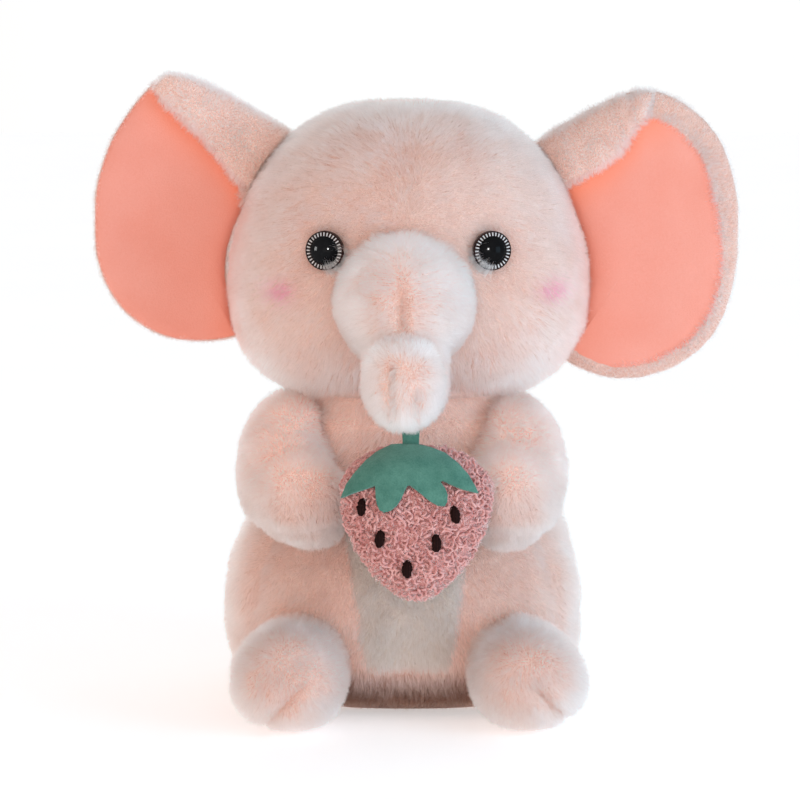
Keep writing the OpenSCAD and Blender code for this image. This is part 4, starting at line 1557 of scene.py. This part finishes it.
seeds = []
for k, (x, z) in enumerate(SEEDS):
    seed, d = icosphere(f"seed_{k}", 4)
    turn = math.radians([10, -12, 6, -4, 0][k])
    q = d * np.array([2.0, 1.7, 3.6])
    q = q + d * (0.12 * np.sin(q[:, 2] * 9.0))[:, None]
    ragged = np.stack([np.sign(d[:, 0]) * 9, np.full(len(d), k * 5.0), q[:, 2]], 1)
    q[:, 0] *= 1 + 0.22 * noise3(ragged, 0.8, 120)
    c, si = math.cos(turn), math.sin(turn)
    q = np.stack([q[:, 0] * c + q[:, 2] * si, q[:, 1], -q[:, 0] * si + q[:, 2] * c], 1)
    y = float(berry_front(np.array([float(x)]), np.array([float(z)]), 0)[0])
    set_vertices(seed, q + np.array([x, y + 0.1, z]))
    seeds.append(seed)
seeds = join(seeds, "strawberry_stitches")
finish_soft(seeds, "strawberry", "strawberry_seeds", slot="brown_thread", material=thread_material(),
            fill=None)

# ---------------------------------------------------------------- eyes

def gloss(name, colour, rough, shine=0.1):
    m, nt, bsdf = new_material(name)
    speck = noise_node(nt, 700.0, 2.0)
    shade = ramp_node(nt, speck.outputs["Fac"], [(0.3, tuple(c * 0.8 for c in colour)), (0.7, colour)])
    nt.links.new(shade.outputs["Color"], bsdf.inputs["Base Color"])
    bsdf.inputs["Roughness"].default_value = rough
    bsdf.inputs["Specular IOR Level"].default_value = shine
    return m


black = gloss("eye_black", (0.002, 0.002, 0.0022), 0.05, 0.03)
ivory = gloss("eye_ticks", (0.74, 0.70, 0.68), 0.3)
dark = gloss("eye_rim", (0.030, 0.012, 0.010), 0.3)


def eye_turn(side, q):
    """From the eye's own axes, z outward, into the row frame."""
    c, s = math.cos(EYE_TOE * side), math.sin(EYE_TOE * side)
    out = np.stack([q[:, 0], -q[:, 2], q[:, 1]], 1)
    out = np.stack([out[:, 0] * c - out[:, 1] * s, out[:, 0] * s + out[:, 1] * c, out[:, 2]], 1)
    return out + EYES[side]


def spun(name, side, profile, around=96):
    t = np.linspace(0, 2 * np.pi, around, endpoint=False)
    rows = [eye_turn(side, np.stack([r * np.cos(t), r * np.sin(t), np.full(around, z)], 1)) for r, z in profile]
    return lathe(name, rows, around)


TICKS = 32
TICK_FACES = [(0, 4, 6, 2), (1, 3, 7, 5), (0, 1, 5, 4), (2, 6, 7, 3), (0, 2, 3, 1), (4, 5, 7, 6)]

for s in (1, -1):
    name = SIDE[s]
    cap = [(5.85 * math.sin(a), -0.5 + 4.0 * math.cos(a) ** 0.95) for a in np.linspace(0.04, np.pi / 2, 30)]
    dome = spun(f"eye_{name}_lens", s, cap + [(5.6, -1.0), (0.5, -1.0)])
    finish_soft(dome, "head", f"eye_{name}_dome", slot="eye_black", material=black, fill=None)
    plate = [(0.5, 0.1), (5.9, 0.1), (6.5, 0.0), (7.1, -0.3), (7.25, -0.9), (0.5, -0.9)]
    base = spun(f"eye_{name}_plate", s, plate)
    finish_soft(base, "head", slot="eye_black", material=dark, fill=None)
    points, faces = [], []
    for k in range(TICKS):
        a = 2 * np.pi * k / TICKS
        for r, w, z in ((5.9, 0.18, 0.5), (7.3, 0.26, 0.2)):
            for sign in (-1, 1):
                x = r * math.cos(a) - sign * w * math.sin(a)
                y = r * math.sin(a) + sign * w * math.cos(a)
                points += [(x, y, z), (x, y, z - 0.5)]
        faces += [tuple(8 * k + corner for corner in face) for face in TICK_FACES]
    ring = make(f"eye_{name}_tick_ring", eye_turn(s, np.array(points)), faces)
    ring.data.polygons.foreach_set("use_smooth", np.zeros(len(ring.data.polygons), bool))
    finish_soft(ring, "head", f"eye_{name}_ring", slot="eye_ticks", material=ivory, fill=None)
    lip = [(0.4, -1.2), (7.3, -1.2), (7.3, 0.15), (7.4, 0.32), (7.6, 0.35), (7.78, 0.2), (7.8, -0.2)]
    stem = [(7.8, -2.0), (1.9, -2.0), (1.9, -7.9), (0.4, -7.9)]
    rim = spun(f"eye_{name}_socket", s, lip + stem)
    finish_soft(rim, "head", f"eye_{name}_rim", slot="eye_rim", material=dark, fill=None)

for s in (1, -1):
    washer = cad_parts[f"eye_{SIDE[s]}_washer"]
    washer.data.materials.clear()
    washer.data.materials.append(ivory)

# ---------------------------------------------------------------- floor, light and camera

floor_mat, nt, bsdf = new_material("floor")
speck = noise_node(nt, 8.0, 2.0)
shade = ramp_node(nt, speck.outputs["Fac"], [(0.3, (0.90, 0.90, 0.90)), (0.7, (0.92, 0.92, 0.92))])
nt.links.new(shade.outputs["Color"], bsdf.inputs["Base Color"])
bsdf.inputs["Roughness"].default_value = 0.9
bsdf.inputs["Emission Color"].default_value = (1, 1, 1, 1)
bsdf.inputs["Emission Strength"].default_value = 0.42
corners = [(-4000, -4000, -0.3), (4000, -4000, -0.3), (4000, 4000, -0.3), (-4000, 4000, -0.3)]
floor = make("floor", corners, [(0, 1, 2, 3)])
floor.data.materials.append(floor_mat)
floor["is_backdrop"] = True

world = bpy.data.worlds.new("studio")
world.use_nodes = True
wt = world.node_tree
sky = wt.nodes["Background"]
place = node(wt, "ShaderNodeTexCoord")
split = node(wt, "ShaderNodeSeparateXYZ")
wt.links.new(place.outputs["Generated"], split.inputs[0])


def sky_ramp(axis, stops):
    half = node(wt, "ShaderNodeMath", operation="MULTIPLY_ADD")
    half.inputs[1].default_value = 0.5
    half.inputs[2].default_value = 0.5
    wt.links.new(split.outputs[axis], half.inputs[0])
    return ramp_node(wt, half.outputs[0], stops)


# beige from the left, cool from the right, and dimmer in front of the elephant than behind it
across = sky_ramp("X", [
    (0.0, (0.66, 0.50, 0.42)), (0.46, (1, 1, 1)), (0.54, (1, 1, 1)), (1.0, (0.60, 0.83, 1.0)),
])
along = sky_ramp("Y", [(0.0, (0.84, 0.80, 0.79)), (0.45, (0.88, 0.87, 0.87)), (0.75, (1, 1, 1))])
upward = sky_ramp("Z", [(0.62, (1, 1, 1)), (1.0, (0.60, 0.60, 0.60))])
source = across
for ramp in (along, upward):
    tone = node(wt, "ShaderNodeMix", data_type="RGBA", blend_type="MULTIPLY")
    tone.inputs["Factor"].default_value = 1.0
    wt.links.new(source.outputs["Color" if source is across else "Result"], tone.inputs["A"])
    wt.links.new(ramp.outputs["Color"], tone.inputs["B"])
    source = tone
wt.links.new(source.outputs["Result"], sky.inputs[0])
sky.inputs[1].default_value = 1.02
bpy.context.scene.world = world


def lamp(name, place, target, size, power, colour):
    data = bpy.data.lights.new(name, "AREA")
    data.energy = power
    data.size = size
    data.color = colour
    obj = bpy.data.objects.new(name, data)
    obj.location = Vector(place)
    obj.rotation_euler = (Vector(target) - Vector(place)).to_track_quat("-Z", "Y").to_euler()
    bpy.context.collection.objects.link(obj)
    return obj


lamp("front", (-0.2, -1.5, 0.02), (0, 0, 0.09), 1.2, 7.5, (1.0, 0.94, 0.91))
lamp("cool", (0.9, -0.7, 0.25), (0, 0, 0.12), 0.5, 5.0, (0.46, 0.76, 1.0))

def only(box, name, pieces):
    """Lets box light only these pieces."""
    group = bpy.data.collections.new(name)
    for piece in pieces:
        group.objects.link(piece)
    box.light_linking.receiver_collection = group
    return group


# a fill for the arms and the body, which the head keeps from the light above
fill = lamp("fill", (-0.1, -0.5, 1.0), (0, 0, 0.10), 0.6, 4.2, (1.0, 0.96, 0.95))
fill.light_linking.blocker_collection = only(fill, "below_the_head", below_head)

# one for the top of the trunk and the fold on the beige side
crown = lamp("crown", (-0.1, -0.42, 0.90), (0, 0, 0.18), 0.5, 1.5, (0.96, 0.98, 1.0))
only(crown, "crown", crowned)

# two small soft boxes for the eyes' catchlights
lenses = [bpy.data.objects[f"eye_{SIDE[s]}_lens"] for s in (1, -1)]
spark = lamp("spark", (-0.02, -1.1, 0.36), (0, 0, 0.18), 0.16, 40.0, (1.0, 1.0, 1.0))
side_spark = lamp("side_spark", (-1.0, -0.35, 0.30), (0, 0, 0.18), 0.30, 25.0, (1.0, 1.0, 1.0))
for box in (spark, side_spark):
    only(box, "eye_glass", lenses)

camera = bpy.data.cameras.new("camera")
cam = bpy.data.objects.new("camera", camera)
bpy.context.collection.objects.link(cam)
elevation, distance = math.radians(8), 1.35
target = Vector((-0.0033, -0.005, 0.1223))
cam.location = target + distance * Vector((0, -math.cos(elevation), math.sin(elevation)))
cam.rotation_euler = (target - cam.location).to_track_quat("-Z", "Y").to_euler()
camera.lens = 36 / (0.330 / distance)
bpy.context.scene.camera = cam
bpy.context.scene.view_settings.view_transform = "Standard"

low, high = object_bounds()
